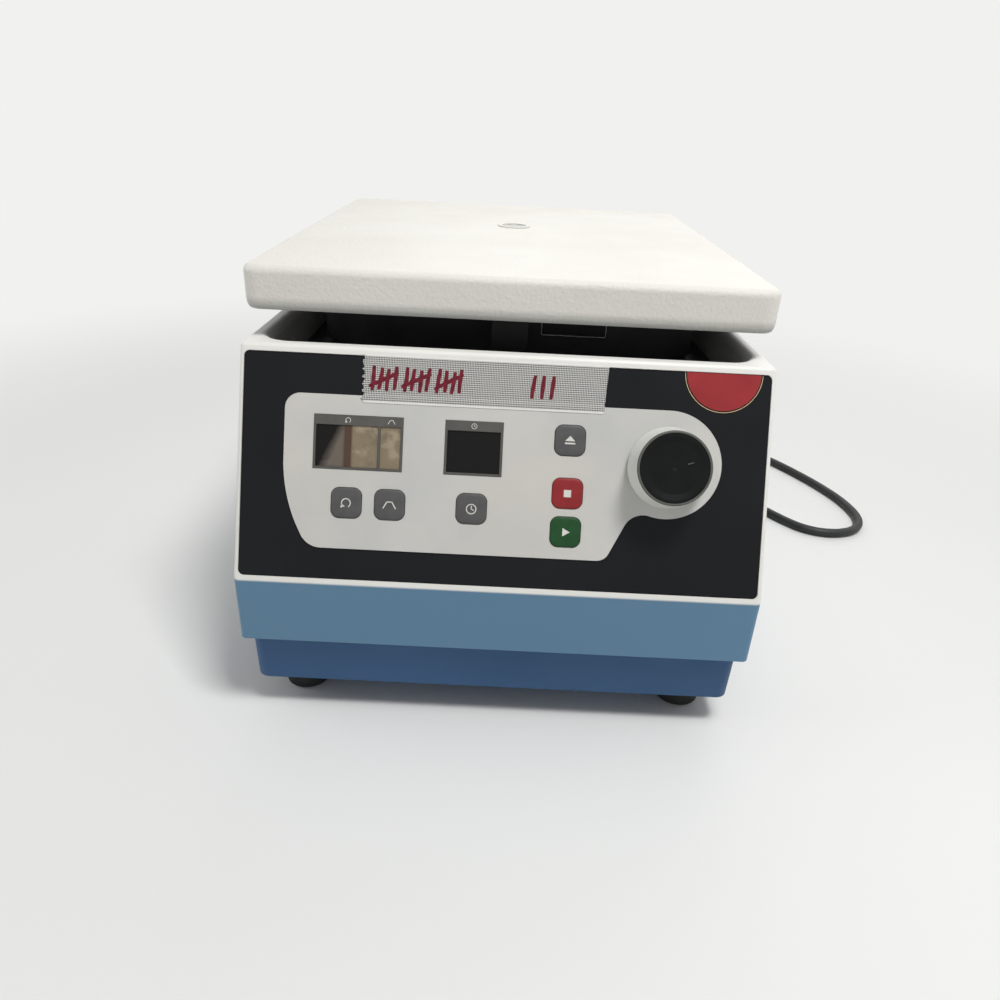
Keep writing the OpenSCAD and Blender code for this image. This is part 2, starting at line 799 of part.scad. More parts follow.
bolt_r = 2.5;
bolt_head_h = 4;
module motor_plate() color(steel) difference() {
    on_axis(z_plate) slab(plate_w, plate_w, plate_t, 12);
    on_axis(z_plate - 1) cylinder(r = motor_r + 0.5, h = plate_t + 2);
    at_mounts() translate([0, 0, -1]) cylinder(r = bolt_r, h = plate_t + 2);
    at_flange_bolts() translate([0, 0, -plate_t - 1]) cylinder(r = bolt_r, h = plate_t + 2);
}

module at_mounts() for (x = [-1, 1], y = [-1, 1])
    translate([x * mount_x, axis_y + y * mount_x, z_plate]) children();

module motor_mounts() color(rubber_black) at_mounts() translate([0, 0, -mount_h]) difference() {
    union() {
        cylinder(r = mount_r, h = 4);
        cylinder(r = mount_r - 2.5, h = mount_h);
        translate([0, 0, mount_h - 4]) cylinder(r = mount_r, h = 4);
    }
    translate([0, 0, mount_h - 9]) cylinder(r = bolt_r, h = 10);
}

module at_flange_bolts() for (a = [0:90:270])
    translate([0, axis_y, z_plate + plate_t]) rotate(a)
        translate([(motor_r + flange_r) / 2, 0, 0]) children();

// Four bolts through the rubber mounts and four through the motor's flange
module mount_bolts() color(steel) {
    at_mounts() translate([0, 0, plate_t + bolt_head_h])
        screw(4.5, bolt_head_h, bolt_r, plate_t + mount_h / 2 + 1);
    at_flange_bolts() translate([0, 0, flange_t + 3]) screw(4, 3, bolt_r, flange_t + plate_t + 2);
}

module motor_housing() color(alloy) on_axis() difference() {
    union() {
        translate([0, 0, z_motor]) cylinder(r = motor_r, h = z_motor_top - z_motor);
        translate([0, 0, z_plate + plate_t]) cylinder(r = flange_r, h = flange_t);
    }
    translate([0, 0, z_motor + cap_t])
        cylinder(r = motor_r - can_wall, h = z_motor_top - z_motor - 2 * cap_t);
    translate([0, 0, z_motor + 2]) cylinder(r = bearing_r, h = bearing_w + 1);
    translate([0, 0, z_motor_top - 2 - bearing_w - 1]) cylinder(r = bearing_r, h = bearing_w + 1);
    translate([0, 0, z_motor - 1]) cylinder(r = shaft_r + 2, h = z_motor_top - z_motor + 2);
    translate([0, -axis_y, 0]) at_flange_bolts()
        translate([0, 0, -1]) cylinder(r = bolt_r, h = flange_t + 2);
}

module motor_bearings() color(steel) on_axis() for (z = [z_motor + 2, z_motor_top - 2 - bearing_w])
    translate([0, 0, z]) difference() {
        ring(bearing_r, shaft_r + run_fit, bearing_w);
        for (face = [-0.6, bearing_w - 0.6])
            translate([0, 0, face]) ring(bearing_r - 2.5, shaft_r + 2.5, 1.2);
    }

stack_low = z_motor + cap_t + 7;
stack_h = z_motor_top - z_motor - 2 * cap_t - 14;
module stator() color("#8a5a34") on_axis(stack_low) {
    ring(motor_r - can_wall, motor_r - can_wall - 8, stack_h);
    for (i = [0:tooth_count - 1]) rotate(360 / tooth_count * i) {
        translate([magnet_r + 3, -2, 1]) cube([motor_r - can_wall - 8 - magnet_r - 3 + 1, 4, stack_h - 2]);
        translate([magnet_r + 4.5, -3.8, 3]) cube([motor_r - can_wall - 14 - magnet_r, 7.6, stack_h - 6]);
    }
}

module motor_magnets() color("#3a3c40") on_axis(stack_low)
    ring(magnet_r, shaft_r + run_fit, stack_h);

module drive_shaft() color(alloy) on_axis() rotate_extrude() polygon([
    [0, z_motor + 3], [shaft_r - 0.5, z_motor + 3], [shaft_r, z_motor + 3.5], [shaft_r, z_bowl + 3],
    [seat_r + 2.5, z_bowl + 5], [seat_r + 2.5, z_seat - slip], [seat_r, z_seat - slip], [seat_r, z_hub - 12],
    [seat_r - 2, z_hub - 8], [stud_r, z_hub - 8], [stud_r, z_hub + 9], [stud_r - 1, z_hub + 10],
    [0, z_hub + 10]
]);

// ---------- rotor ----------

// Half section of the rotor block: hub, sloped land with the pocket mouths, gutter and raised rim
module rotor_section() polygon([
    [seat_r + run_fit, z_rotor], [20, z_rotor], [20, z_rotor + 34], [34, z_rotor + 29], [50, z_rotor],
    [64, z_rotor], [rotor_r - 3, z_rotor + 10], [rotor_r, z_rotor + 14], [rotor_r, rotor_rim_z - 5],
    [rotor_r - 1.5, rotor_rim_z - 1.5], [rotor_r - 4, rotor_rim_z], [rotor_r - 7, rotor_rim_z],
    [rotor_r - 9, rotor_rim_z - 2], [rotor_r - 13, rotor_rim_z - 12], [gutter_r + 5, rotor_rim_z - 17],
    [gutter_r, mouth_z - 20 * tan(pocket_tilt)],
    [top_flat_r, z_rotor + rotor_h], [top_flat_r - 6, z_rotor + rotor_h],
    [top_flat_r - 8, z_rotor + rotor_h - 2],
    [20, z_hub], [seat_r + run_fit, z_hub]
]);

// One tilted tube pocket with a round end
module pocket() translate([mouth_r, 0, mouth_z]) rotate([0, 180 - pocket_tilt, 0]) {
    translate([0, 0, -20]) cylinder(r = pocket_r, h = pocket_len + 20);
    translate([0, 0, pocket_len]) sphere(pocket_r);
}

module rotor_head() color(alloy) on_axis() difference() {
    rotate_extrude($fn = 128) rotor_section();
    for (i = [0:pocket_count - 1]) rotate(360 / pocket_count * i) pocket();
}

nut_r = 17;
module rotor_nut() color(panel_black) on_axis(z_hub) difference() {
    rotate_extrude() polygon([
        [stud_r + run_fit, slip], [nut_r - 1, slip], [nut_r, slip + 1], [nut_r, 9], [nut_r - 2, 11],
        [8, 12], [7, 13.5], [0, 13.5], [0, 10.5], [stud_r + run_fit, 10.5]
    ]);
    for (i = [0:7]) rotate(45 * i) translate([nut_r + 2.2, 0, 2.5]) cylinder(r = 4, h = 20, $fn = 32);
}

// ---------- latch ----------

latch_front = striker_front - 24;
latch_back = latch_y + 12;
bolt_z = window_z + (window_h - bolt_h) / 2;
module latch_body() color(panel_black) difference() {
    union() {
        translate([-latch_w / 2, latch_front, z_latch_low])
            cube([latch_w, latch_back - latch_front, z_latch - z_latch_low]);
        for (x = [-1, 1]) translate([x * (latch_w / 2 - 4), latch_back - 4, z_latch - eps])
            cylinder(r = 4, h = z_deck_low - z_latch - slip / 2);
    }
    translate([0, 0, striker_low - 2]) latch_slot(40);
    translate([-bolt_w / 2 - slip, latch_front + 1.5, bolt_z - slip])
        cube([bolt_w + 2 * slip, latch_back - latch_front - 3, bolt_h + 2 * slip]);
    translate([-1.5, latch_front - 1, bolt_z + 1.5]) cube([3, 4, 3]);
}

module latch_bolt() color(steel) {
    y = striker_front - 1.5;
    translate([-bolt_w / 2, y - bolt_len + 6, bolt_z]) cube([bolt_w, bolt_len - 8, bolt_h]);
    translate([-bolt_w / 2, y - 2 - eps, bolt_z]) rotate([90, 0, 90]) linear_extrude(bolt_w)
        polygon([[-eps, 0], [2, 1.5], [2, bolt_h - 1.5], [-eps, bolt_h]]);
}

module latch_motor() color(steel) {
    y = latch_front + 16;
    translate([-latch_w / 2 + 2, y, z_latch_low - 9]) rotate([0, 90, 0]) cylinder(r = 9, h = 32);
    translate([-latch_w / 2 + 33.5, y - 7, z_latch_low - 16]) cube([8, 14, 16]);
    translate([-latch_w / 2 + 33, y, z_latch_low - 9]) rotate([0, 90, 0]) cylinder(r = 2, h = 2);
}

module striker() color(panel_black) difference() {
    union() {
        translate([-striker_w / 2, striker_front, striker_low])
            cube([striker_w, striker_t, z_liner - striker_low]);
        translate([-striker_w / 2, striker_front, z_liner - striker_t])
            cube([striker_w, striker_foot, striker_t]);
    }
    translate([-window_w / 2, latch_y - 10, window_z]) cube([window_w, 20, window_h]);
}

// ---------- hinges ----------

module at_hinges() for (side = [-1, 1]) translate([side * hinge_x, 0, 0]) children();

module ear_profile() {
    difference() {
        union() {
            translate([ear_y0, z_deck]) square([ear_y1 - ear_y0, hinge_z + 3 - z_deck]);
            translate([ear_y0, hinge_z - knuckle_r + 0.8]) square([hinge_y - ear_y0, 2 * knuckle_r - 1.6]);
            translate([hinge_y, hinge_z]) circle(knuckle_r);
        }
        translate([hinge_y, hinge_z]) circle(hinge_pin_r + 0.01);
    }
}

module hinge_brackets() color(panel_black) at_hinges() {
    for (side = [-1, 1]) translate([side * (ear_gap + ear_t) / 2, 0, 0]) across(ear_t) ear_profile();
    translate([-ear_gap / 2 - eps, ear_y0, z_deck]) cube([ear_gap + 2 * eps, ear_y1 - ear_y0, bracket_t]);
}

module hinge_pins() color(steel) at_hinges() translate([0, hinge_y, hinge_z]) rotate([0, 90, 0]) {
    translate([0, 0, -ear_gap / 2 - ear_t - 1.5]) cylinder(r = hinge_pin_r, h = ear_gap + 2 * ear_t + 2.5);
    translate([0, 0, -ear_gap / 2 - ear_t - 1.5]) cylinder(r = hinge_pin_r + 1.5, h = 1.5);
}

// The lug stands on a foot plate that lies against the liner, between its pan and the lid's rear wall
module hinge_lugs() color(steel) at_hinges() {
    foot_w = lug_w + 18;
    foot_y0 = pan_rear + seat_gap;
    foot_y1 = y_rear - lid_wall - seat_gap;
    across(lug_w) difference() {
        union() {
            translate([hinge_y, hinge_z]) circle(knuckle_r);
            polygon([
                [hinge_y - knuckle_r, hinge_z], [hinge_y - knuckle_r, z_liner], [foot_y1, z_liner],
                [foot_y1, z_lid - 2.5], [hinge_y + knuckle_r, hinge_z]
            ]);
        }
        translate([hinge_y, hinge_z]) circle(hinge_pin_r + pin_fit);
    }
    translate([-foot_w / 2, foot_y0, z_liner - lug_foot_t]) cube([foot_w, foot_y1 - foot_y0, lug_foot_t]);
}

// ---------- lid ----------

// The lid's lower edge turns in along a quarter of an ellipse
lid_low_in = 2.2;
lid_low_h = 5;
module lid_outer() {
    c = lid_corner_r;
    t = lid_top_r;
    hull() for (x = [-1, 1], y = [lid_y0 + c, y_rear - c]) translate([x * (lid_w / 2 - c), y, 0]) {
        translate([0, 0, lid_top(y) - t]) rotate_extrude($fn = 40) translate([c - t, 0]) circle(t, $fn = 32);
        for (a = [0:30:60]) translate([0, 0, z_lid + lid_low_h * (1 - cos(a))])
            cylinder(r1 = c - lid_low_in * (1 - sin(a)), r2 = c - lid_low_in * (1 - sin(a + 30)),
                h = lid_low_h * (cos(a) - cos(a + 30)), $fn = 40);
    }
}

// Inside of the lid: its roof runs parallel to the sloped top
module lid_cavity() intersection() {
    across(lid_w) polygon([
        [lid_y0 + lid_wall, z_lid - 5], [lid_y0 + lid_wall, lid_top(lid_y0 + lid_wall) - lid_wall],
        [y_rear - lid_wall, lid_top(y_rear - lid_wall) - lid_wall], [y_rear - lid_wall, z_lid - 5]
    ]);
    translate([0, lid_y0 + lid_d / 2, z_lid - 5])
        slab(lid_w - 2 * lid_wall, lid_d - 2 * lid_wall, 60, lid_corner_r - lid_wall);
}

module lid_shell() color(white_plastic) difference() {
    union() {
        difference() {
            lid_outer();
            lid_cavity();
        }
        lid_bosses();
    }
    on_lid_top(axis_y) translate([0, 0, -lid_wall - 2]) cylinder(r = sight_r + 2, h = 10);
    at_lid_screws() cylinder(r = lid_screw_r, h = liner_t + 8);
}

// Screw bosses that reach up to the roof of the lid, each with a rib to the side wall
module lid_bosses() for (side = [-1, 1], y = lid_screw_y) {
    z = z_liner + liner_t;
    h = lid_top(y - 4.5) - lid_wall / 2 - z;
    translate([side * lid_screw_x, y, z]) cylinder(r = 4.5, h = h);
    translate([side * (lid_w / 2 - lid_wall - 3) - 3.5, y - 1, z]) cube([7, 2, h]);
}

module lid_liner() color(panel_black) {
    roof = lid_top(axis_y) - lid_wall - 1;
    difference() {
        union() {
            translate([0, lid_y0 + lid_d / 2, z_liner])
                slab(lid_w - 2 * lid_wall - slip, lid_d - 2 * lid_wall - slip, liner_t,
                    lid_corner_r - lid_wall - 0.1);
            translate([0, pan_y, z_pan]) slab(pan_w, pan_d, z_liner - z_pan + 1, pan_corner_r);
        }
        translate([0, pan_y, z_pan + pan_wall])
            slab(pan_w - 2 * pan_wall, pan_d - 2 * pan_wall, 80, pan_corner_r - pan_wall);
        on_axis(z_pan - 1) cylinder(r = sight_r - 0.5, h = 10);
        at_lid_screws() {
            translate([0, 0, -1]) cylinder(r = lid_screw_r + slip, h = liner_t + 2);
            translate([0, 0, -1]) cylinder(r = 3 + slip, h = 1 + 1.7);
        }
    }
    on_axis(z_pan + pan_wall - 0.5) ring(sight_r + sight_tube_wall, sight_r - 0.5, roof - z_pan - pan_wall);
}

module sight_window() color([0.75, 0.8, 0.82, 0.5]) on_lid_top(axis_y)
    translate([0, 0, -2.6]) cylinder(r = sight_r, h = 2.8);

module sight_ring() color(white_plastic) on_lid_top(axis_y) {
    translate([0, 0, -lid_wall]) ring(sight_r + 1.9, sight_r + 0.05, lid_wall + 0.1);
    translate([0, 0, 0.02]) ring(sight_r + 3.2, sight_r + 0.05, 0.7);
}

lid_screw_x = lid_w / 2 - lid_wall - 6;
lid_screw_r = 1.5;
lid_screw_y = [lid_y0 + 12, lid_y0 + lid_d / 2, y_rear - 26];
module at_lid_screws() for (x = [-1, 1], y = lid_screw_y)
    translate([x * lid_screw_x, y, z_liner]) children();

module lid_screws() color(steel) at_lid_screws()
    translate([0, 0, 0.1]) rotate([180, 0, 0]) screw(3, 1.6, lid_screw_r, liner_t + 5);

// ---------- electronics and rear ----------

module power_board() color(board_green) translate([-board_w / 2, board_y - board_d / 2, z_floor + post_h])
    cube([board_w, board_d, board_t]);

z_parts = z_floor + post_h + board_t;
sink_w = 70;
sink_d = 28;
sink_base = 4;
fin_h = 22;
fin_t = 1.6;
fin_count = 8;
module heat_sink() color(alloy) translate([-board_w / 2 + 12, board_y - sink_d / 2, z_parts]) {
    cube([sink_w, sink_d, sink_base]);
    for (i = [0:fin_count - 1])
        translate([1 + i * (sink_w - 2 - fin_t) / (fin_count - 1), 0, sink_base - 0.1])
            cube([fin_t, sink_d, fin_h]);
}

can_r = 11;
can_h = 30;
can_pitch = 27;
module capacitors() color("#23303f")
    for (i = [0:2]) translate([14 + i * can_pitch, board_y, z_parts]) cylinder(r = can_r, h = can_h);

slot_pitch = 7;
rear_slots = 13;
module rear_panel() color(grey_plastic) translate([0, rear_y, 0]) difference() {
    translate([0, 0, rear_win_z]) rotate([90, 0, 0]) slab(rear_win_w + 14, rear_win_h + 14, rear_plate_t, 6);
    for (i = [0:rear_slots - 1]) translate([-108 + i * slot_pitch, 1, rear_win_z]) rotate([90, 0, 0])
        slab(3, 44, rear_plate_t + 2, 1.4, $fn = 24);
    translate([inlet_x, 1, inlet_z]) rotate([90, 0, 0]) slab(socket_w + 4, inlet_h - 8, rear_plate_t + 2, 2);
    translate([switch_x, 1, inlet_z]) rotate([90, 0, 0])
        slab(rocker_w + 4.4, rocker_l + 6.4, rear_plate_t + 2, 1);
}

module mains_inlet() color(rubber_black) {
    difference() {
        union() {
            translate([inlet_x, rear_y + inlet_flange, inlet_z]) rotate([90, 0, 0])
                slab(inlet_w, inlet_h, inlet_flange, 4);
            translate([inlet_x, rear_y + eps, inlet_z]) rotate([90, 0, 0])
                slab(socket_w + 3.6, inlet_h - 8.4, socket_depth + 4, 2);
        }
        translate([inlet_x, rear_y + inlet_flange + 1, socket_z]) rotate([90, 0, 0])
            slab(socket_w, socket_h, socket_depth + 1, 3);
        translate([inlet_x - 11.2, rear_y - 12, drawer_z - 3.2]) cube([22.4, 30, 6.4]);
    }
    for (x = [-7, 0, 7])
        translate([inlet_x + x - 1, rear_y + inlet_flange - socket_depth - 0.5, blade_z(x) - 2])
            cube([2, 15, 4]);
}
function blade_z(x) = socket_z + (x == 0 ? 3 : -2);

module fuse_drawer() color(rubber_black) {
    translate([inlet_x - 11, rear_y - 11.8, drawer_z - 3]) cube([22, inlet_flange + 11.8, 6]);
    translate([inlet_x - 12.5, rear_y + inlet_flange, drawer_z - 4]) cube([25, 1, 8]);
}

module switch_frame() color(rubber_black) translate([switch_x, rear_y, inlet_z]) difference() {
    union() {
        translate([0, 1.5, 0]) rotate([90, 0, 0]) slab(rocker_w + 8, rocker_l + 10, 1.5, 2);
        translate([0, eps, 0]) rotate([90, 0, 0]) slab(rocker_w + 4, rocker_l + 6, 18, 1);
    }
    translate([-rocker_w / 2 - 0.4, -16, -rocker_l / 2 - 1.2]) cube([rocker_w + 0.8, 30, rocker_l + 2.4]);
    rotate([0, 90, 0]) translate([0, -rocker_axis, -rocker_w / 2 - 1.6])
        cylinder(r = 1.2, h = rocker_w + 3.2);
}

// The rocker leans to its off side; its two faces meet in a shallow V over the pivot
rocker_axis = 5;
module switch_rocker() color("#26282a") translate([switch_x, rear_y - rocker_axis, inlet_z]) {
    rotate([rocker_tilt, 0, 0]) translate([-rocker_w / 2, 0, 0]) rotate([90, 0, 90]) linear_extrude(rocker_w)
        polygon([
            [-4, -3], [0, -8.6], [rocker_axis - 0.2, -9.6], [rocker_axis - 1.9, 0], [rocker_axis - 0.2, 9.6],
            [0, 8.6], [-4, 3]
        ]);
    translate([-rocker_w / 2 - 1.4, 0, 0]) rotate([0, 90, 0]) cylinder(r = 1.15, h = rocker_w + 2.8);
}

// ---------- mains lead ----------

module at_socket() translate([inlet_x, rear_y + inlet_flange, socket_z]) rotate([-90, 0, 0]) children();

module cord_connector() color(rubber_black) {
    at_socket() difference() {
        translate([0, 0, -socket_depth + 2])
            slab(socket_w - 0.6, socket_h - 0.6, socket_depth - 2 + eps, 2.7);
        for (x = [-7, 0, 7])
            translate([x - 1.2, socket_z - blade_z(x) - 2.2, -socket_depth]) cube([2.4, 4.4, 16]);
    }
    at_socket() translate([0, 0, 0.1]) slab(socket_w + 3, socket_h + 3, conn_len - 10, 4);
    at_socket() translate([0, 0, conn_len - 10]) cylinder(r1 = 9.5, r2 = 6.5, h = 10.2);
    at_socket() translate([0, 0, conn_len]) cylinder(r1 = 6.2, r2 = cord_d / 2 + 0.6, h = relief_len - eps);
}

// Unit direction of a route at point i, from its neighbours
function heading(p, i) = let(d = p[min(i + 1, len(p) - 1)] - p[max(i - 1, 0)]) d / norm(d);

// A ring of points about point i of a route; the ring's first axis stays level
function ring_at(p, i, r, n) = let(
    d = heading(p, i),
    a = cross(d, [0, 0, 1]) / norm(cross(d, [0, 0, 1])),
    b = cross(a, d)
) [for (k = [0:n - 1]) p[i] + r * (cos(360 * k / n) * a + sin(360 * k / n) * b)];

// Points of a smooth curve through a route, with the given number of steps between its points
function smooth(p, steps) = [
    for (i = [0:len(p) - 2], s = [0:steps - 1]) let(
        t = s / steps,
        p0 = p[max(i - 1, 0)], p1 = p[i], p2 = p[i + 1], p3 = p[min(i + 2, len(p) - 1)]
    ) 0.5 * (2 * p1 + (p2 - p0) * t + (2 * p0 - 5 * p1 + 4 * p2 - p3) * t * t
        + (3 * p1 - p0 - 3 * p2 + p3) * t * t * t),
    p[len(p) - 1]
];

module swept_tube(p, r, n = 8) {
    count = len(p);
    polyhedron(
        points = [for (i = [0:count - 1]) each ring_at(p, i, r, n)],
        faces = [
            [for (k = [n - 1:-1:0]) k],
            for (i = [0:count - 2], k = [0:n - 1])
                [i * n + (k + 1) % n, (i + 1) * n + (k + 1) % n, (i + 1) * n + k, i * n + k],
            [for (k = [0:n - 1]) (count - 1) * n + k]
        ]
    );
}

// The loose lead, and its short straight tail from the coil to the plug
module cord_tube() color(rubber_black) {
    swept_tube(smooth(route, 2), cord_d / 2);
    translate([coil_x, coil_y - coil_turn_r, 1.5 * cord_d]) rotate([0, 90, 0])
        cylinder(r = cord_d / 2, h = plug_x - plug_relief - coil_x);
}

// Four turns of put-away lead as one closed ring, two turns wide and two high
module cord_coil() color(rubber_black) translate([coil_x, coil_y, 0]) rotate_extrude($fn = 96)
    translate([coil_mid_r, cord_d]) round_rect(2 * cord_d + 0.4, 2 * cord_d, 2.4);

// Three-pin plug that lies beside the coil: body, tapered strain relief, two blades and an earth pin
module cord_plug() color(rubber_black)
    translate([plug_x, coil_y - coil_turn_r, plug_h / 2]) rotate([90, 0, 90]) {
    slab(plug_w, plug_h, plug_len, 6);
    translate([0, 0, -plug_relief]) cylinder(r1 = cord_d / 2 + 0.8, r2 = 7.5, h = plug_relief);
    for (x = [-6.35, 6.35]) translate([x - 0.75, -1, plug_len - 1]) cube([1.5, 6.4, 17]);
    translate([0, -6, plug_len - 1]) cylinder(r = 2.4, h = 20, $fn = 24);
}

housing();
base_pan();
feet();
pan_screws();
fascia();
control_field();
display_bezels();
display_windows();
red_inlay();
control_board();
display_modules();
key_switches();
encoder();
deck_plate();
deck_screws();
chamber_bowl();
bowl_gasket();
motor_housing();
stator();
motor_bearings();
motor_plate();
motor_mounts();
mount_bolts();
latch_body();
latch_motor();
hinge_brackets();
hinge_pins();
power_board();
heat_sink();
capacitors();
rear_panel();
mains_inlet();
fuse_drawer();
switch_frame();
lid_shell();
lid_liner();
sight_window();
sight_ring();
striker();
hinge_lugs();
lid_screws();
drive_shaft();
motor_magnets();
rotor_head();
rotor_nut();
latch_bolt();
knob_skirt();
knob_cap();
encoder_shaft();
key_speed();
key_ramp();
key_time();
key_lid();
key_stop();
key_start();
switch_rocker();
cord_connector();
cord_tube();
cord_coil();
cord_plug();
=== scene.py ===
# %% [markdown]
# # A compact bench-top centrifuge
# This lesson dresses a finished model of a small laboratory centrifuge. The solids come ready from
# the frame, so the work here is the looks: moulded plastic, printed film, turned metal, rubber, cloth
# tape and a mains lead. Each part of the lesson first says what the real thing is, and then makes it.
#
# Everything is in metres, with +Z up and the control panel facing -Y. The frame is loaded first, because
# it holds the solids, and the later steps take their places from it wherever they can.

# %% Load the frame
import json
import math
import random

import bpy
from mathutils import Matrix, Vector

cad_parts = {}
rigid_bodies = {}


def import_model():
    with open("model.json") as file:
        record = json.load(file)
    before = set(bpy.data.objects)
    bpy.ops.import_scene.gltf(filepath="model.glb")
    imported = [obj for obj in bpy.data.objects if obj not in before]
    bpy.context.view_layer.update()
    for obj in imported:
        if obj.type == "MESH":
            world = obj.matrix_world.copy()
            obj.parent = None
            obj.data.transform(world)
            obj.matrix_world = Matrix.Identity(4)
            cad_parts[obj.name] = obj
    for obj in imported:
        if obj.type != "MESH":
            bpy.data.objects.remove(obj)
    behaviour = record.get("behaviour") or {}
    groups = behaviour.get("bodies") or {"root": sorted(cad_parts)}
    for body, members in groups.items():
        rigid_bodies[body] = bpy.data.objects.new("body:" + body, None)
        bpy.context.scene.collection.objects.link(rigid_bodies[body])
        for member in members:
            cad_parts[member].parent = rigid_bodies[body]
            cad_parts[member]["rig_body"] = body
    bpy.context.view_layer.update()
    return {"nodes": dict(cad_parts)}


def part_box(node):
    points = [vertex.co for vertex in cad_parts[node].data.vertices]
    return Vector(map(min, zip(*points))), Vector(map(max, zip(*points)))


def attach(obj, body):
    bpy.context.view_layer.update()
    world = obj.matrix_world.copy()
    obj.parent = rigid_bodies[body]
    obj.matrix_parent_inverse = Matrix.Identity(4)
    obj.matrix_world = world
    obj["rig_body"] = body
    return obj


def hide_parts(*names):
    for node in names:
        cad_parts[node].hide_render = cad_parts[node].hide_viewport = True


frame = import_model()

MM = 0.001
nodes = frame["nodes"]

# %% [markdown]
# ## The view
# The machine is looked at from close up and from a little above its lid, with a short lens: the lid looks
# wide and the feet look narrow. A lens of 27 mm on a 36 mm sensor gives that strong perspective. The
# camera is held slightly crooked, so the level edges fall a little to the right, and that is the small
# roll. The standard view transform shows each colour about as it is written in the materials.

# %% Camera
eye_place = Vector((-0.0022, -0.521, 0.311))
eye_turn = math.radians(-0.19)
eye_dip = math.radians(26.94)
eye_roll = math.radians(2.87)

camera_data = bpy.data.cameras.new("eye")
camera_data.lens = 27.0
camera_data.sensor_width = 36.0
camera = bpy.data.objects.new("eye", camera_data)
bpy.context.scene.collection.objects.link(camera)
camera.matrix_world = (
    Matrix.Translation(eye_place)
    @ Matrix.Rotation(eye_turn, 4, "Z")
    @ Matrix.Rotation(math.pi / 2 - eye_dip, 4, "X")
    @ Matrix.Rotation(eye_roll, 4, "Z")
)
bpy.context.scene.camera = camera
bpy.context.scene.view_settings.view_transform = "Standard"
print("camera at", tuple(round(v, 3) for v in eye_place), "dips", round(math.degrees(eye_dip), 1))

# %% [markdown]
# ## The mains lead
# The lead leaves its moulded connector behind the machine, falls to the table, comes round the right
# side in one loose bend and goes back behind, where the spare length lies as a neat coil with its plug.
# A curve with a round bevel is the natural way to make it: one line of points, one thickness. The loose
# stretch follows listed points, joined by a smooth spline, and the coil's turns are a formula.

# %% Lead: sizes
lead_d = 7.2 * MM
floor_z = lead_d / 2
coil_centre = Vector((-0.030, 0.250, 0))
coil_mid = 0.038
outer_turn = coil_mid + lead_d / 2
inner_turn = coil_mid - lead_d / 2
print("lead:", round(lead_d / MM, 1), "mm thick; the coil is", round(2000 * coil_mid), "mm across")

# %% [markdown]
# The points below are the middle of the lead, given one by one: out of the connector and down in a soft
# arc, forwards along the right side, round the bend, and back behind the machine to the coil. A
# simulation could drop a lead on the table too, but it would fall differently after each change, and
# points that are listed stay where they are put.

# %% Lead: the loose stretch
route = [
    (0.070, 0.2475, 0.097), (0.0704, 0.258, 0.0956), (0.0718, 0.2685, 0.0904), (0.0746, 0.2775, 0.081),
    (0.0795, 0.284, 0.069), (0.087, 0.288, 0.0555), (0.097, 0.2895, 0.042), (0.109, 0.288, 0.0295),
    (0.122, 0.283, 0.019), (0.136, 0.2745, 0.0108), (0.150, 0.263, 0.0056), (0.163, 0.248, floor_z),
    (0.175, 0.229, floor_z), (0.186, 0.206, floor_z), (0.196, 0.180, floor_z), (0.207, 0.152, floor_z),
    (0.220, 0.124, floor_z), (0.236, 0.097, floor_z), (0.257, 0.067, floor_z), (0.272, 0.055, floor_z),
    (0.290, 0.052, floor_z), (0.308, 0.058, floor_z), (0.320, 0.072, floor_z), (0.324, 0.092, floor_z),
    (0.321, 0.118, floor_z), (0.312, 0.146, floor_z), (0.299, 0.174, floor_z), (0.282, 0.204, floor_z),
    (0.260, 0.233, floor_z), (0.232, 0.259, floor_z), (0.198, 0.281, floor_z), (0.160, 0.297, floor_z),
    (0.118, 0.306, floor_z), (0.074, 0.308, floor_z), (0.030, 0.303, floor_z), (-0.002, 0.296, floor_z),
    (coil_centre.x, coil_centre.y + outer_turn, floor_z),
]
print("route:", len(route), "points by hand")

# %% [markdown]
# Straight lines between these points would show as corners. A smooth spline runs through each point, and
# takes its direction there from the two neighbours. Blender's own curved splines could do this, but a
# formula gives the points as plain values.

# %% Lead: the smooth line
def smooth_route(points, steps):
    """A smooth curve through the points, with the given number of steps between each two."""
    made = []
    last = len(points) - 1
    for i in range(last):
        p0, p1 = Vector(points[max(i - 1, 0)]), Vector(points[i])
        p2, p3 = Vector(points[i + 1]), Vector(points[min(i + 2, last)])
        for k in range(steps):
            t = k / steps
            bend = 2 * p0 - 5 * p1 + 4 * p2 - p3
            twist = 3 * p1 - p0 - 3 * p2 + p3
            made.append(0.5 * (2 * p1 + (p2 - p0) * t + bend * t * t + twist * t ** 3))
    made.append(Vector(points[last]))
    return made


loose_line = smooth_route(route, 8)
print("loose stretch:", len(loose_line), "points")

# %% [markdown]
# The coil takes three and a half turns, in four parts of a little under a turn each: outside on the
# table, inside on the table, inside on top and outside on top. The lead changes place in short ramps,
# given in degrees turned, that never share an angle, so it doesn't run through itself.

# %% Lead: the coil and the tail
turns = 3.5
ramp_in, ramp_up, ramp_out = (302, 352), (600, 655), (908, 958)


def ease(value, start, end):
    """0 before start, 1 after end, and a soft step between."""
    t = min(max((value - start) / (end - start), 0), 1)
    return t * t * (3 - 2 * t)


def coil_point(turned):
    """Place of the lead after it has turned by that many degrees, seen from above, leftwards."""
    inward = ease(turned, *ramp_in) - ease(turned, *ramp_out)
    upward = ease(turned, *ramp_up)
    radius = outer_turn + (inner_turn - outer_turn) * inward
    angle = math.radians(turned)
    return coil_centre + Vector((
        -radius * math.sin(angle), radius * math.cos(angle), floor_z + lead_d * upward
    ))


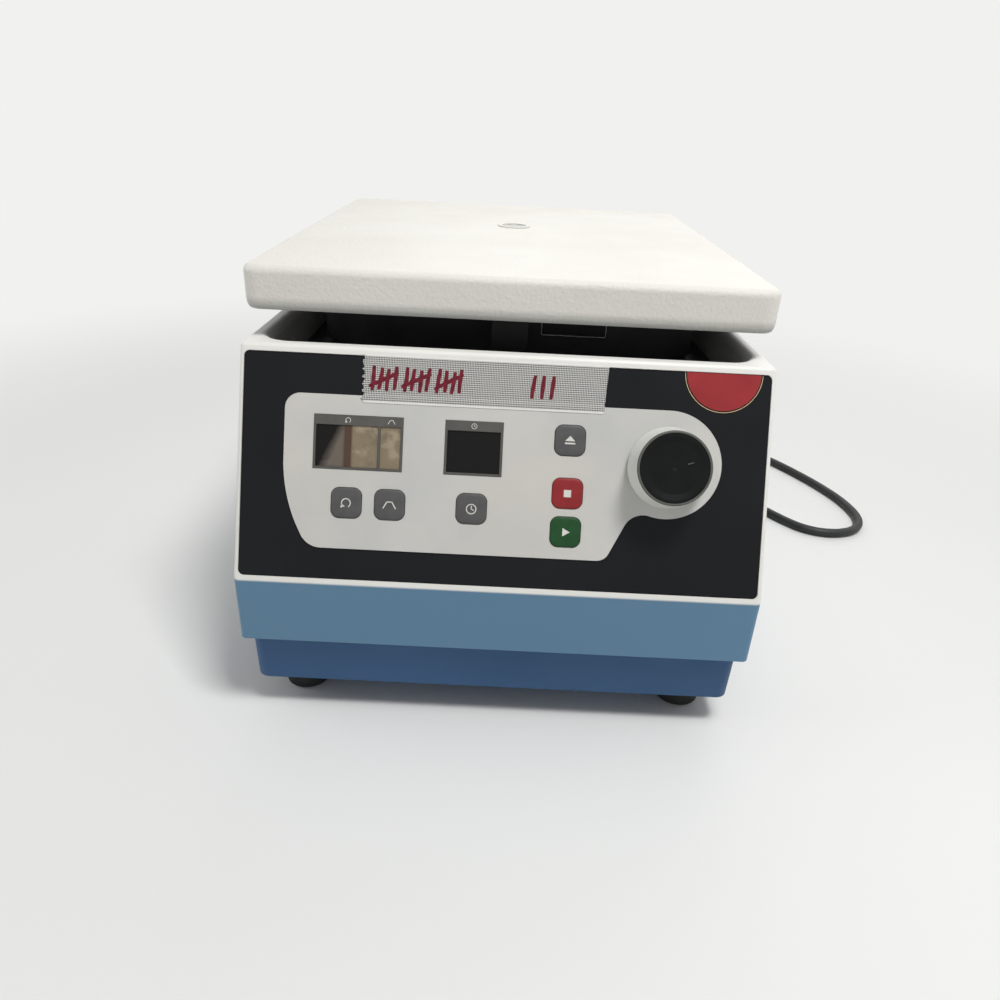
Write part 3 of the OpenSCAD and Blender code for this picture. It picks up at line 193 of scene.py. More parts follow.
coil_line = [coil_point(a) for a in range(6, int(turns * 360) + 1, 6)]
tail_end = Vector((0.002, coil_centre.y - outer_turn, 1.5 * lead_d))
tail_line = [coil_line[-1].lerp(tail_end, k / 4) for k in range(1, 5)]
lead_line = loose_line + coil_line + tail_line

# %% [markdown]
# The points become one poly spline, and its bevel gives the round jacket. Each point carries the jacket's
# radius, and the bevel is 1: a curve's own box grows by the radius of its points, so points of radius 1
# would make that box two metres too wide. The frame's plain tube and ring lie in the same place, so the
# curve replaces them both.

# %% Lead: the curve
lead_shape = bpy.data.curves.new("mains_lead", "CURVE")
lead_shape.dimensions = "3D"
lead_shape.bevel_depth = 1.0
lead_shape.bevel_resolution = 6
lead_shape.use_fill_caps = True
spline = lead_shape.splines.new("POLY")
spline.points.add(len(lead_line) - 1)
for knot, place in zip(spline.points, lead_line):
    knot.co = (*place, 1)
    knot.radius = lead_d / 2
spline.use_smooth = True
lead = bpy.data.objects.new("mains_lead", lead_shape)
bpy.context.scene.collection.objects.link(lead)
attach(lead, "case")
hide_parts("cord_tube", "cord_coil")
print("lead curve:", len(spline.points), "points,", round(2000 * spline.points[0].radius, 1), "mm thick")

# %% [markdown]
# ## Table and light
# Colours are written here as on a paint card, and a shader wants linear numbers, so a small helper turns
# one into the other. A second helper adds a shader node and fills its inputs in one line, which keeps the
# materials below short enough to read.

# %% Colour helper
def paint(code):
    """A colour written as on a paint card, such as "#c9c9c6", as the linear numbers a shader needs."""
    def linear(part):
        value = int(part, 16) / 255
        return value / 12.92 if value <= 0.04045 else ((value + 0.055) / 1.055) ** 2.4
    return (linear(code[1:3]), linear(code[3:5]), linear(code[5:7]), 1.0)


def add_node(tree, kind, **settings):
    """A shader node. Settings that aren't properties of the node are values of its inputs."""
    made = tree.nodes.new(kind)
    for key, value in settings.items():
        if hasattr(made, key):
            setattr(made, key, value)
        else:
            made.inputs[key.replace("_", " ")].default_value = value
    return made


room_tone = paint("#f1f1ef")
print("room tone", [round(v, 2) for v in room_tone[:3]])

# %% [markdown]
# The world gives a weak, even light from all sides. A ray that comes straight from the camera, or by way of
# a mirror or a clear pane, meets a fixed pale tone instead, so the background and what shiny faces reflect
# stay the same when that light is changed.

# %% World
world = bpy.data.worlds.new("room")
bpy.context.scene.world = world
world.use_nodes = True
sky = world.node_tree
sky.nodes.clear()
lit = add_node(sky, "ShaderNodeBackground", Color=paint("#f4f4f2"), Strength=0.33)
seen = add_node(sky, "ShaderNodeBackground", Color=room_tone, Strength=1.0)
ray = add_node(sky, "ShaderNodeLightPath")
either = add_node(sky, "ShaderNodeMath", operation="MAXIMUM")
any_of_three = add_node(sky, "ShaderNodeMath", operation="MAXIMUM")
mixed = add_node(sky, "ShaderNodeMixShader")
out = add_node(sky, "ShaderNodeOutputWorld")
sky.links.new(ray.outputs["Is Camera Ray"], either.inputs[0])
sky.links.new(ray.outputs["Is Transmission Ray"], either.inputs[1])
sky.links.new(either.outputs[0], any_of_three.inputs[0])
sky.links.new(ray.outputs["Is Glossy Ray"], any_of_three.inputs[1])
sky.links.new(any_of_three.outputs[0], mixed.inputs["Fac"])
sky.links.new(lit.outputs[0], mixed.inputs[1])
sky.links.new(seen.outputs[0], mixed.inputs[2])
sky.links.new(mixed.outputs[0], out.inputs["Surface"])
print("world: even light at", lit.inputs["Strength"].default_value)

# %% [markdown] The machine stands on a wide pale floor. A plain square would do as well, but the edge
# of a disc is equally far away on every side. It lies a hair under the feet, so the two never share a
# plane.

# %% Floor mesh
def floor_disc(radius, rings, around):
    """A wide flat disc whose rings grow outwards."""
    corners, faces = [(0, 0, 0)], []
    for i in range(1, rings + 1):
        far = radius * (i / rings) ** 2
        corners += [
            (far * math.cos(math.tau * k / around), far * math.sin(math.tau * k / around), 0)
            for k in range(around)
        ]
    for k in range(around):
        faces.append((0, 1 + k, 1 + (k + 1) % around))
    for i in range(rings - 1):
        a, b = 1 + i * around, 1 + (i + 1) * around
        for k in range(around):
            n = (k + 1) % around
            faces.append((a + k, b + k, b + n, a + n))
    mesh = bpy.data.meshes.new("floor")
    mesh.from_pydata(corners, [], faces)
    return mesh


floor_reach, floor_drop = 9.0, 0.0002
floor = bpy.data.objects.new("floor", floor_disc(floor_reach, 12, 72))
floor.location.z = -floor_drop
bpy.context.scene.collection.objects.link(floor)
print("floor:", len(floor.data.polygons), "faces")

# %% [markdown]
# The floor is lit near the machine, where it takes the shadow, and fades with distance into an even glow
# of the same pale tone as the world, so no horizon line shows. The fade reads the floor's own
# coordinates, and so it stays put when the camera moves.

# %% Floor finish
fade_start, fade_end = 0.34, 1.1
table_top = bpy.data.materials.new("table_top")
table_top.use_nodes = True
tree = table_top.node_tree
tree.nodes.clear()
board = add_node(tree, "ShaderNodeBsdfPrincipled", Base_Color=paint("#e9e9e7"), Roughness=0.6)
glow = add_node(tree, "ShaderNodeEmission", Color=room_tone, Strength=1.0)
where = add_node(tree, "ShaderNodeTexCoord")
far = add_node(tree, "ShaderNodeVectorMath", operation="LENGTH")
fade = add_node(tree, "ShaderNodeMapRange", interpolation_type="SMOOTHERSTEP")
fade.inputs["From Min"].default_value = fade_start
fade.inputs["From Max"].default_value = fade_end
both = add_node(tree, "ShaderNodeMixShader")
out = add_node(tree, "ShaderNodeOutputMaterial")
tree.links.new(where.outputs["Object"], far.inputs[0])
tree.links.new(far.outputs["Value"], fade.inputs["Value"])
tree.links.new(fade.outputs["Result"], both.inputs["Fac"])
tree.links.new(board.outputs[0], both.inputs[1])
tree.links.new(glow.outputs[0], both.inputs[2])
tree.links.new(both.outputs[0], out.inputs["Surface"])
floor.data.materials.append(table_top)
print("floor fades between", fade_start, "and", fade_end, "m from the middle")

# %% [markdown]
# The light came from high up: the lid's top and the rounded rim under it are the brightest, upright
# faces are in soft shade, and the knob's shadow falls down to the left. One soft lamp high in front and
# to the right gives that. A second one behind lights the rear edges of the lid, and a weak one
# at each side opens the shadows.

# %% Lamps
def soft_lamp(name, place, aim, size, watts, tint="#ffffff"):
    """A rectangular lamp at a place, turned towards its aim."""
    data = bpy.data.lights.new(name, "AREA")
    data.shape = "RECTANGLE"
    data.size, data.size_y = size
    data.energy = watts
    data.color = paint(tint)[:3]
    lamp = bpy.data.objects.new(name, data)
    lamp.location = place
    lamp.rotation_euler = (Vector(aim) - Vector(place)).to_track_quat("-Z", "Y").to_euler()
    bpy.context.scene.collection.objects.link(lamp)


middle = (0, 0, 0.12)
soft_lamp("ceiling", (0.38, -0.50, 1.48), middle, (0.4, 0.36), 15.2)
soft_lamp("window", (0.35, 1.15, 1.0), middle, (1.4, 1.0), 4.2)
soft_lamp("left_fill", (-1.5, -0.1, 0.9), middle, (1.0, 1.0), 5, "#f8fbff")
soft_lamp("right_fill", (1.5, 0.25, 0.8), middle, (1.0, 0.8), 1.6)

# %% [markdown]
# ## Finishes
# Every finish starts from the same shader, and the differences are in what is wired to it. A class is a
# good way to hold that: it remembers the shader, the coordinates, the colour so far and the last bump, so
# each step can build on the one before. The patterns read the coordinates of the piece itself, in metres,
# so a grain of half a millimetre is written as half a millimetre.

# %% Finish: the shader
class BareFinish:
    """A material under construction: its shader, its coordinates, its colour so far and its last bump."""

    def __init__(self, name, colour, roughness, metallic=0.0, **sockets):
        self.material = bpy.data.materials.new(name)
        self.material.use_nodes = True
        self.tree = self.material.node_tree
        self.shader = self.tree.nodes["Principled BSDF"]
        self.base = paint(colour)
        self.colour_from = None
        self.shader.inputs["Base Color"].default_value = self.base
        self.shader.inputs["Roughness"].default_value = roughness
        self.shader.inputs["Metallic"].default_value = metallic
        for key, value in sockets.items():
            self.shader.inputs[key.replace("_", " ")].default_value = value
        self.coords = add_node(self.tree, "ShaderNodeTexCoord")
        self.normal_from = None
        self.material.diffuse_color = self.base

    def link(self, a, b):
        """Wires an output to an input."""
        self.tree.links.new(a, b)


print("shader ready:", [name for name in vars(BareFinish) if not name.startswith("__")])

# %% [markdown]
# A pattern is a number that varies from place to place. It starts with the place on the piece, then a
# noise makes patches of a given size, and a range helper picks the part of the noise that should show.
# Painted images could carry such patterns too, but noise needs no file, has no seams and fits any shape.

# %% Finish: the patterns
class PatternedFinish(BareFinish):
    """Adds places, noises and ranges."""

    def place(self, stretch=(1, 1, 1), turn=(0, 0, 0), shift=(0, 0, 0)):
        """The piece's own coordinates in metres, stretched or turned for a pattern with a direction."""
        mapping = add_node(self.tree, "ShaderNodeMapping")
        mapping.inputs["Scale"].default_value = stretch
        mapping.inputs["Rotation"].default_value = turn
        mapping.inputs["Location"].default_value = shift
        self.link(self.coords.outputs["Object"], mapping.inputs["Vector"])
        return mapping.outputs["Vector"]

    def noise(self, size, detail=2.0, distortion=0.0, **where):
        """A noise with patches of about the given size in metres."""
        made = add_node(
            self.tree, "ShaderNodeTexNoise", Scale=1 / size, Detail=detail, Distortion=distortion
        )
        self.link(self.place(**where), made.inputs["Vector"])
        return made.outputs["Fac"]

    def span(self, value, low, high, to_low=0.0, to_high=1.0):
        """Stretches a value from one range to another, and holds it at the ends."""
        made = add_node(self.tree, "ShaderNodeMapRange")
        for key, number in zip(("From Min", "From Max", "To Min", "To Max"), (low, high, to_low, to_high)):
            made.inputs[key].default_value = number
        self.link(value, made.inputs["Value"])
        return made.outputs["Result"]


print("patterns ready:", [name for name in vars(PatternedFinish) if not name.startswith("_")])

# %% [markdown]
# Real moulded plastic is never one flat colour: the colour drifts a little over the length of a panel,
# and handling polishes some patches. So the next helpers lay a second colour over the first one, by a
# slow noise or by height, and let the roughness wander between two values. The layer by height is used
# for painted shade on the parts that lie low.

# %% Finish: colour and roughness
class ColouredFinish(PatternedFinish):
    """Adds layers of colour and patches of roughness."""

    def mix_in(self, colour, amount):
        """Lays a colour over what is there, by an amount that varies over the surface."""
        made = add_node(self.tree, "ShaderNodeMix", data_type="RGBA")
        if self.colour_from is None:
            made.inputs["A"].default_value = self.base
        else:
            self.link(self.colour_from, made.inputs["A"])
        made.inputs["B"].default_value = paint(colour)
        self.link(amount, made.inputs["Factor"])
        self.colour_from = made.outputs["Result"]
        self.link(self.colour_from, self.shader.inputs["Base Color"])

    def drift(self, colour, size, low=0.35, high=0.75, **where):
        """Lays a colour over slow patches of about the given size in metres."""
        self.mix_in(colour, self.span(self.noise(size, 3.0, **where), low, high))

    def paint_shade_below(self, colour, top, bottom, most=1.0):
        """Lays a colour over the parts that lie low, softly from one height to the other: painted shade."""
        made = add_node(self.tree, "ShaderNodeSeparateXYZ")
        self.link(self.place(), made.inputs["Vector"])
        self.mix_in(colour, self.span(made.outputs["Z"], bottom, top, most, 0.0))

    def rough_patches(self, low, high, size, **where):
        """Lets the roughness wander between two values."""
        patches = self.span(self.noise(size, 4.0, **where), 0.3, 0.7, low, high)
        self.link(patches, self.shader.inputs["Roughness"])


print("layers ready:", [name for name in vars(ColouredFinish) if not name.startswith("_")])

# %% [markdown]
# The mould's fine spark grain breaks the highlight, and that is a bump: a noise of a fraction of a
# millimetre that only tilts the shading. Another helper rounds the sharp edges of the shading, as no
# moulded or machined edge is a perfect knife edge. Bumps stack, so the grain lies over the rounding.

# %% Finish: relief
class Finish(ColouredFinish):
    """Adds bumps and soft edges."""

    def bump(self, height, depth, strength=1.0):
        """Tilts the shading by a height, over the bumps that are there."""
        made = add_node(self.tree, "ShaderNodeBump", Distance=depth, Strength=strength)
        self.link(height, made.inputs["Height"])
        if self.normal_from is not None:
            self.link(self.normal_from, made.inputs["Normal"])
        self.normal_from = made.outputs["Normal"]
        self.link(self.normal_from, self.shader.inputs["Normal"])

    def soft_edges(self, radius):
        """Rounds the shading of sharp edges. It comes before any bump."""
        made = add_node(self.tree, "ShaderNodeBevel", samples=4)
        made.inputs["Radius"].default_value = radius
        self.normal_from = made.outputs["Normal"]
        self.link(self.normal_from, self.shader.inputs["Normal"])

    def grain(self, size, depth, strength=1.0, **where):
        """A bump from a fine noise of about the given size in metres."""
        self.bump(self.noise(size, 2.0, **where), depth, strength)


def dress(finish, *names):
    """Gives a finish to frame nodes, by filling their material slots."""
    for name in names:
        mesh = nodes[name].data
        mesh.materials.clear()
        mesh.materials.append(finish.material)


print("relief ready:", [name for name in vars(Finish) if not name.startswith("_")])

# %% [markdown]
# The case and lid are moulded in a warm white. Light scatters a little way into such plastic, so its
# shaded faces look warm and soft. A fine grain of about half a millimetre covers all outside faces. Below
# the panel a blue-grey is mixed in by height alone, in a step of about a millimetre, which looks as crisp
# as a masked edge. That blue-grey is painted shade and painted blue bounce light, laid on as a two-tone
# step.

# %% White case
white_scatter = {"Subsurface_Weight": 0.05, "Subsurface_Radius": (0.004, 0.003, 0.002)}
band_top, band_edge = 0.0885, 0.0872
case_white = Finish("case_white", "#e6e5e0", 0.42, **white_scatter)
case_white.soft_edges(0.5 * MM)
case_white.drift("#e1dfd9", 0.11)
case_white.drift("#e8e7e3", 0.04, 0.45, 0.85)
# painted shade and blue bounce light below the panel, laid on as a step in colour
case_white.paint_shade_below("#487b9d", band_top, band_edge, 0.95)
case_white.rough_patches(0.4, 0.48, 0.05)
case_white.grain(0.55 * MM, 0.03 * MM, 0.5)
dress(case_white, "housing")
print("white on housing, blue-grey under", band_top)

# %% [markdown]
# The lid is the same plastic with a second, coarser grain that shows on its front edge. Its lowest few
# millimetres turn inwards into shade, and that shade is painted: a grey that fades out upwards. The
# height where it starts is read from the lid's own box, so the fade stays at the lid's foot.

# %% White lid
lid_white = Finish("lid_white", "#e0ded8", 0.5, Specular_IOR_Level=0.3, **white_scatter)
lid_white.soft_edges(0.6 * MM)
lid_white.drift("#dad7ce", 0.09)
lid_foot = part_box("lid_shell")[0].z
# painted shade: a grey at the lid's foot that fades out upwards
lid_white.paint_shade_below("#8b8d8c", lid_foot + 7 * MM, lid_foot + 1 * MM, 0.75)
lid_white.rough_patches(0.38, 0.54, 0.04)
lid_white.grain(0.5 * MM, 0.035 * MM, 0.6)
lid_white.grain(1.7 * MM, 0.34 * MM, 1.0)
dress(lid_white, "lid_shell", "sight_ring")
print("white on lid_shell and sight_ring; the lid's foot is at", round(lid_foot, 4))

# %% [markdown]
# The base tray is the same plastic. Its darker blue-grey is painted shade and painted blue bounce light,
# like the band above it. The rear vent plate is sheet metal with a light grey paint, whose skin is a little
# coarser than the plastic's. Neither has a pattern of its own, so a slow drift of the colour and a grain
# are enough to keep them from looking flat.

# %% Grey base
# painted shade and blue bounce light: the base tray's dark blue-grey
base_grey = Finish("base_grey", "#365a83", 0.5, Specular_IOR_Level=0.3)
base_grey.soft_edges(0.5 * MM)
base_grey.drift("#32547b", 0.08)
base_grey.rough_patches(0.44, 0.6, 0.04)
base_grey.grain(0.5 * MM, 0.04 * MM, 0.6)
dress(base_grey, "base_pan")

painted_sheet = Finish("painted_sheet", "#b4b6b6", 0.45)
painted_sheet.soft_edges(0.25 * MM)
painted_sheet.drift("#abadad", 0.05)
painted_sheet.grain(1.1 * MM, 0.03 * MM, 0.7)
dress(painted_sheet, "rear_panel")
print("grey finishes on base_pan and rear_panel")

# %% [markdown]
# The front plate is black acrylic with a satin face, and the control field is a printed polyester film. A
# film has a very fine even texture, and its colour is a little warmer or greyer in wide patches, so it
# gets two slow drifts. The plate gets a low specular level, as the lamps would turn it grey otherwise.

# %% Front plate and control field
front_black = Finish("front_black", "#18191c", 0.38, Specular_IOR_Level=0.12)
front_black.drift("#1d1e21", 0.06)
front_black.rough_patches(0.33, 0.4, 0.05)
front_black.grain(0.35 * MM, 0.012 * MM, 0.4)
dress(front_black, "fascia")

field_film = Finish("field_film", "#c9c8c4", 0.48, Specular_IOR_Level=0.4)
field_film.soft_edges(0.15 * MM)
field_film.drift("#bcbcbb", 0.05)
field_film.drift("#cfcbc2", 0.09, 0.45, 0.8)
field_film.rough_patches(0.42, 0.55, 0.02)
field_film.grain(0.3 * MM, 0.01 * MM, 0.5)
dress(field_film, "control_field")
print("front plate and field dressed")

# %% [markdown]
# Inside the well, the deck plate and the hinge brackets are black powder coat: a coarse orange-peel skin
# on steel. On the deck plate that black is partly painted shade, as it darkens the gap under the lid. The
# striker under the lid is a deeper black, which is painted shade: it hangs in the dark gap in front of the
# pan. Both get soft edges, as a powder coat rounds every corner.

# %% Powder coat
# partly painted shade: the deck plate's black darkens the gap under the lid
powder_black_and_shade = Finish("powder_black_and_shade", "#2b2c2d", 0.5)
powder_black_and_shade.soft_edges(0.3 * MM)
powder_black_and_shade.drift("#333435", 0.03)
powder_black_and_shade.grain(0.9 * MM, 0.05 * MM, 0.7)
dress(powder_black_and_shade, "deck_plate", "hinge_brackets")

# painted shade: the striker's deeper black
striker_shade_black = Finish("striker_shade_black", "#101011", 0.55, Specular_IOR_Level=0.2)
striker_shade_black.soft_edges(0.3 * MM)
striker_shade_black.drift("#151516", 0.01)
striker_shade_black.grain(0.6 * MM, 0.03 * MM, 0.6)
dress(striker_shade_black, "striker")
print("powder coat on deck_plate, hinge_brackets and striker")

# %% [markdown]
# The lid's inner pan is black vacuum-formed sheet, smoother and a little glossier. The inlet, the switch
# and the bodies of the key switches are small black mouldings. None of them is written as pure black: a
# dark grey leaves room for the soft highlights that show their shape.

# %% Black mouldings
formed_black = Finish("formed_black", "#2a2b2d", 0.4)
formed_black.soft_edges(0.6 * MM)
formed_black.drift("#333436", 0.06)
formed_black.rough_patches(0.32, 0.46, 0.03)
formed_black.grain(0.6 * MM, 0.03 * MM, 0.5)
dress(formed_black, "lid_liner", "latch_body")

switch_black = Finish("switch_black", "#1a1b1c", 0.4)
switch_black.soft_edges(0.3 * MM)
switch_black.rough_patches(0.34, 0.5, 0.01)
switch_black.grain(0.4 * MM, 0.02 * MM, 0.5)
dress(switch_black, "mains_inlet", "fuse_drawer", "switch_frame", "switch_rocker", "key_switches")
print("black mouldings done, from", formed_black.material.name, "to", switch_black.material.name)

# %% [markdown]
# Bare metals differ by how they were worked. The bowl is spun from stainless sheet, so its marks are fine
# rings about its axis. The rotor is cast and turned aluminium with a clear anodised skin, duller and a
# little blue-grey. Marks that go round an axis come from the distance to that axis: a noise that reads
# this distance and the height, and nothing else, gives rings without any seam.

# %% Turned marks
rotor_low, rotor_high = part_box("rotor_head")
axis_y = (rotor_low.y + rotor_high.y) / 2


def turned_marks(finish, size, depth, strength, centre_y=0.0):
    """Fine rings about the upright axis through the given y."""
    split = add_node(finish.tree, "ShaderNodeSeparateXYZ")
    flat = add_node(finish.tree, "ShaderNodeCombineXYZ")
    reach = add_node(finish.tree, "ShaderNodeVectorMath", operation="LENGTH")
    rings = add_node(finish.tree, "ShaderNodeCombineXYZ")
    noise = add_node(finish.tree, "ShaderNodeTexNoise", Scale=1 / size, Detail=3.0)
    finish.link(finish.place(shift=(0, -centre_y, 0)), split.inputs["Vector"])
    finish.link(split.outputs["X"], flat.inputs["X"])
    finish.link(split.outputs["Y"], flat.inputs["Y"])
    finish.link(flat.outputs["Vector"], reach.inputs[0])
    finish.link(reach.outputs["Value"], rings.inputs["X"])
    finish.link(split.outputs["Z"], rings.inputs["Y"])
    finish.link(rings.outputs["Vector"], noise.inputs["Vector"])
    finish.bump(noise.outputs["Fac"], depth, strength)


print("rotor axis at y =", round(axis_y, 4))

# %% [markdown]
# The bowl is the brighter of the two, and handling leaves duller patches on both. A metal shows mostly
# what it reflects, so those patches are in the roughness more than in the colour. Both get rings about
# the rotor's axis, a little finer on the rotor, whose turned edges are softened too.

# %% Bowl and rotor
spun_steel = Finish("spun_steel", "#b3b5b6", 0.28, metallic=1.0)
spun_steel.drift("#a3a5a7", 0.05)
spun_steel.rough_patches(0.22, 0.36, 0.04)
turned_marks(spun_steel, 0.6 * MM, 0.012 * MM, 0.6, axis_y)
dress(spun_steel, "chamber_bowl")

rotor_alloy = Finish("rotor_alloy", "#9da1a6", 0.36, metallic=1.0)
rotor_alloy.soft_edges(0.4 * MM)
rotor_alloy.drift("#8f9499", 0.04)
rotor_alloy.rough_patches(0.3, 0.44, 0.03)
turned_marks(rotor_alloy, 0.5 * MM, 0.01 * MM, 0.5, axis_y)
dress(rotor_alloy, "rotor_head")
print("metal on chamber_bowl and rotor_head")

# %% [markdown]
# Screws, pins and bearings are plated steel, bright with small dull patches. The motor's housing and the
# heat sink are cast, so their skin is coarser and more matt. The magnets are grey and the rotor's nut is
# a black moulding with a thin gloss.

# %% Plated and cast parts
plated_steel = Finish("plated_steel", "#adafb0", 0.3, metallic=1.0)
plated_steel.soft_edges(0.2 * MM)
plated_steel.drift("#9a9c9e", 0.01)
plated_steel.rough_patches(0.22, 0.42, 0.006)
plated_steel.grain(0.3 * MM, 0.006 * MM, 0.5)
dress(plated_steel, "pan_screws", "deck_screws", "lid_screws", "mount_bolts", "hinge_pins", "hinge_lugs",
      "latch_bolt", "motor_bearings", "motor_plate", "latch_motor", "encoder")

cast_alloy = Finish("cast_alloy", "#a9abad", 0.46, metallic=1.0)
cast_alloy.soft_edges(0.3 * MM)
cast_alloy.drift("#989a9c", 0.02)
cast_alloy.grain(0.7 * MM, 0.03 * MM, 0.6)
dress(cast_alloy, "motor_housing", "heat_sink", "drive_shaft", "encoder_shaft")

magnet_grey = Finish("magnet_grey", "#44464a", 0.4, metallic=0.8)
magnet_grey.grain(0.4 * MM, 0.02 * MM, 0.6)
dress(magnet_grey, "motor_magnets")

nut_black = Finish("nut_black", "#1d1e20", 0.3, Coat_Weight=0.3, Coat_Roughness=0.2)
nut_black.soft_edges(0.4 * MM)
nut_black.rough_patches(0.26, 0.38, 0.01)
nut_black.grain(0.4 * MM, 0.015 * MM, 0.5)
dress(nut_black, "rotor_nut")
print("metals and the rotor nut done")

# %% [markdown]
# Rubber is dull, slightly uneven and collects pale dust. The dust is a paler drift, and a lower specular
# level takes away the shine of plastic. The lead's jacket is a smoother rubber, and its two moulded ends
# are made of the same.

# %% Rubber
rubber = Finish("rubber", "#1c1c1d", 0.68, Specular_IOR_Level=0.35)
rubber.soft_edges(0.4 * MM)
rubber.drift("#2b2b2b", 0.012, 0.5, 0.85)
rubber.rough_patches(0.6, 0.8, 0.01)
rubber.grain(0.5 * MM, 0.04 * MM, 0.7)
dress(rubber, "feet", "bowl_gasket", "motor_mounts")

cord_rubber = Finish("cord_rubber", "#191a1b", 0.5, Specular_IOR_Level=0.45)
cord_rubber.soft_edges(0.3 * MM)
cord_rubber.drift("#242526", 0.03, 0.4, 0.8)
cord_rubber.rough_patches(0.42, 0.6, 0.02)
cord_rubber.grain(0.6 * MM, 0.02 * MM, 0.5)
dress(cord_rubber, "cord_connector", "cord_plug")
lead.data.materials.append(cord_rubber.material)
print("rubber on feet, seal, mounts and lead")

# %% [markdown]
# The stator is stacked steel with copper turns: a fine wave along its height shows the wires, in colour
# and as a bump. Circuit boards are green lacquer over copper tracks, for which the joints of a brick
# pattern do well, as they are straight, even and join up.

# %% Windings and boards
windings = Finish("windings", "#8a4f28", 0.35, metallic=0.6)
wires = add_node(
    windings.tree, "ShaderNodeTexWave", bands_direction="Z", Scale=1 / (2.4 * MM), Distortion=0.4
)
windings.link(windings.place(), wires.inputs["Vector"])
windings.mix_in("#b87742", wires.outputs["Fac"])
windings.bump(wires.outputs["Fac"], 0.2 * MM, 0.8)
dress(windings, "stator")

lacquer = Finish("lacquer", "#2a5a3a", 0.3, Coat_Weight=0.3, Coat_Roughness=0.15)
tracks = add_node(lacquer.tree, "ShaderNodeTexBrick", Scale=1 / (14 * MM), Mortar_Size=0.05)
tracks.inputs["Color1"].default_value = (0, 0, 0, 1)
tracks.inputs["Color2"].default_value = (0, 0, 0, 1)
tracks.inputs["Mortar"].default_value = (1, 1, 1, 1)
lacquer.link(lacquer.place(), tracks.inputs["Vector"])
lacquer.mix_in("#3d7a50", tracks.outputs["Color"])
lacquer.grain(0.8 * MM, 0.02 * MM, 0.4)
dress(lacquer, "power_board", "control_board")
print("stator and boards done")

# %% [markdown]
# The display modules are matt black frames, and the capacitors wear a shrunk dark blue sleeve. Its gloss
# is a thin clear coat over the colour, which comes nearer to a real sleeve than a smoother surface.

# %% Modules and capacitors
module_black = Finish("module_black", "#26282b", 0.5)
module_black.drift("#303236", 0.01)
module_black.grain(0.5 * MM, 0.02 * MM, 0.5)
dress(module_black, "display_modules")

sleeve_blue = Finish("sleeve_blue", "#22303f", 0.35, Coat_Weight=0.3)
sleeve_blue.drift("#2b3d50", 0.01)
sleeve_blue.grain(1.0 * MM, 0.02 * MM, 0.4)
dress(sleeve_blue, "capacitors")
print("display_modules and capacitors done")

# %% [markdown]
# ## The control panel
# The panel leans back: it climbs 114 mm while it goes back 50 mm. So its pieces are drawn in its own
# coordinates: x runs to the right, s climbs the slope and h points out of it, all in millimetres. One
# matrix then sets them in place, and its inverse tells where the frame's own pieces are on the panel.

# %% Panel coordinates
panel_back, panel_up = 50, 114
slope = math.atan2(panel_back, panel_up)
panel_foot = Vector((0, -190 * MM, 88 * MM))
panel = Matrix.Translation(panel_foot) @ Matrix.Rotation(math.pi / 2 - slope, 4, "X")


def panel_box(name):
    """Lowest and highest corner of a frame node in the panel's own coordinates, in millimetres."""
    inward = panel.inverted()
    places = [inward @ v.co / MM for v in nodes[name].data.vertices]
    return [Vector(f(p[i] for p in places) for i in range(3)) for f in (min, max)]


print("panel leans back by", round(math.degrees(slope), 1), "degrees")

# %% [markdown]
# Keys, ribs and the strap are all skins over stacked outlines: loops with the same number of points, one
# above the other, joined by faces. With its last loop joined to its first, the same skin makes a ring.
# Smooth shading with sharp edges kept above a certain angle makes the round parts round and leaves the
# corners crisp.

# %% Outlines and skins
sharp_from = math.radians(38)


def rounded_loop(width, height, radius, steps=7):
    """Corners of a rectangle with round corners, about the middle, the way the clock doesn't turn."""
    loop = []
    for cx, cy, start in ((1, 1, 0), (-1, 1, 90), (-1, -1, 180), (1, -1, 270)):
        for k in range(steps + 1):
            a = math.radians(start + 90 * k / steps)
            loop.append((
                cx * (width / 2 - radius) + radius * math.cos(a),
                cy * (height / 2 - radius) + radius * math.sin(a),
            ))
    return loop


def skin(name, loops, closed=False):
    """A mesh over loops of points in millimetres, all of one length, from the first to the last."""
    count = len(loops[0])
    corners = [tuple(c * MM for c in p) for loop in loops for p in loop]
    faces = []
    for i in range(len(loops) if closed else len(loops) - 1):
        a, b = i * count, (i + 1) % len(loops) * count
        for k in range(count):
            n = (k + 1) % count
            faces.append((a + k, a + n, b + n, b + k))
    if not closed:
        faces.append(tuple(reversed(range(count))))
        faces.append(tuple(range((len(loops) - 1) * count, len(loops) * count)))
    mesh = bpy.data.meshes.new(name)
    mesh.from_pydata(corners, [], faces)
    mesh.shade_smooth()
    mesh.set_sharp_from_angle(angle=sharp_from)
    return mesh


print("a rounded outline has", len(rounded_loop(10, 10, 2)), "points")

# %% [markdown] Printed signs and lines are thin flat plates of any outline, and those of one sign are
# one mesh.

# %% Plates and placing
def plates(name, outlines, low, high):
    """One mesh of thin flat plates, one for each outline."""
    corners, faces = [], []
    for outline in outlines:
        start, count = len(corners), len(outline)
        for h in (low, high):
            corners += [(x * MM, y * MM, h * MM) for x, y in outline]
        for k in range(count):
            n = (k + 1) % count
            faces.append((start + k, start + n, start + count + n, start + count + k))
        faces.append(tuple(start + k for k in reversed(range(count))))
        faces.append(tuple(start + count + k for k in range(count)))
    mesh = bpy.data.meshes.new(name)
    mesh.from_pydata(corners, [], faces)
    return mesh


def set_piece(name, mesh, finish, body, matrix=panel):
    """Puts a mesh in the scene with its finish, and lets it ride on a body of the frame."""
    made = bpy.data.objects.new(name, mesh)
    made.matrix_world = matrix
    bpy.context.scene.collection.objects.link(made)
    mesh.materials.append(finish.material)
    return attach(made, body)


# %% [markdown]
# ## Displays
# Two warm grey frames hold smoked windows. The frames are in the model already, so all they need is a
# finish: a fine satin grain, and edges that catch a little light.

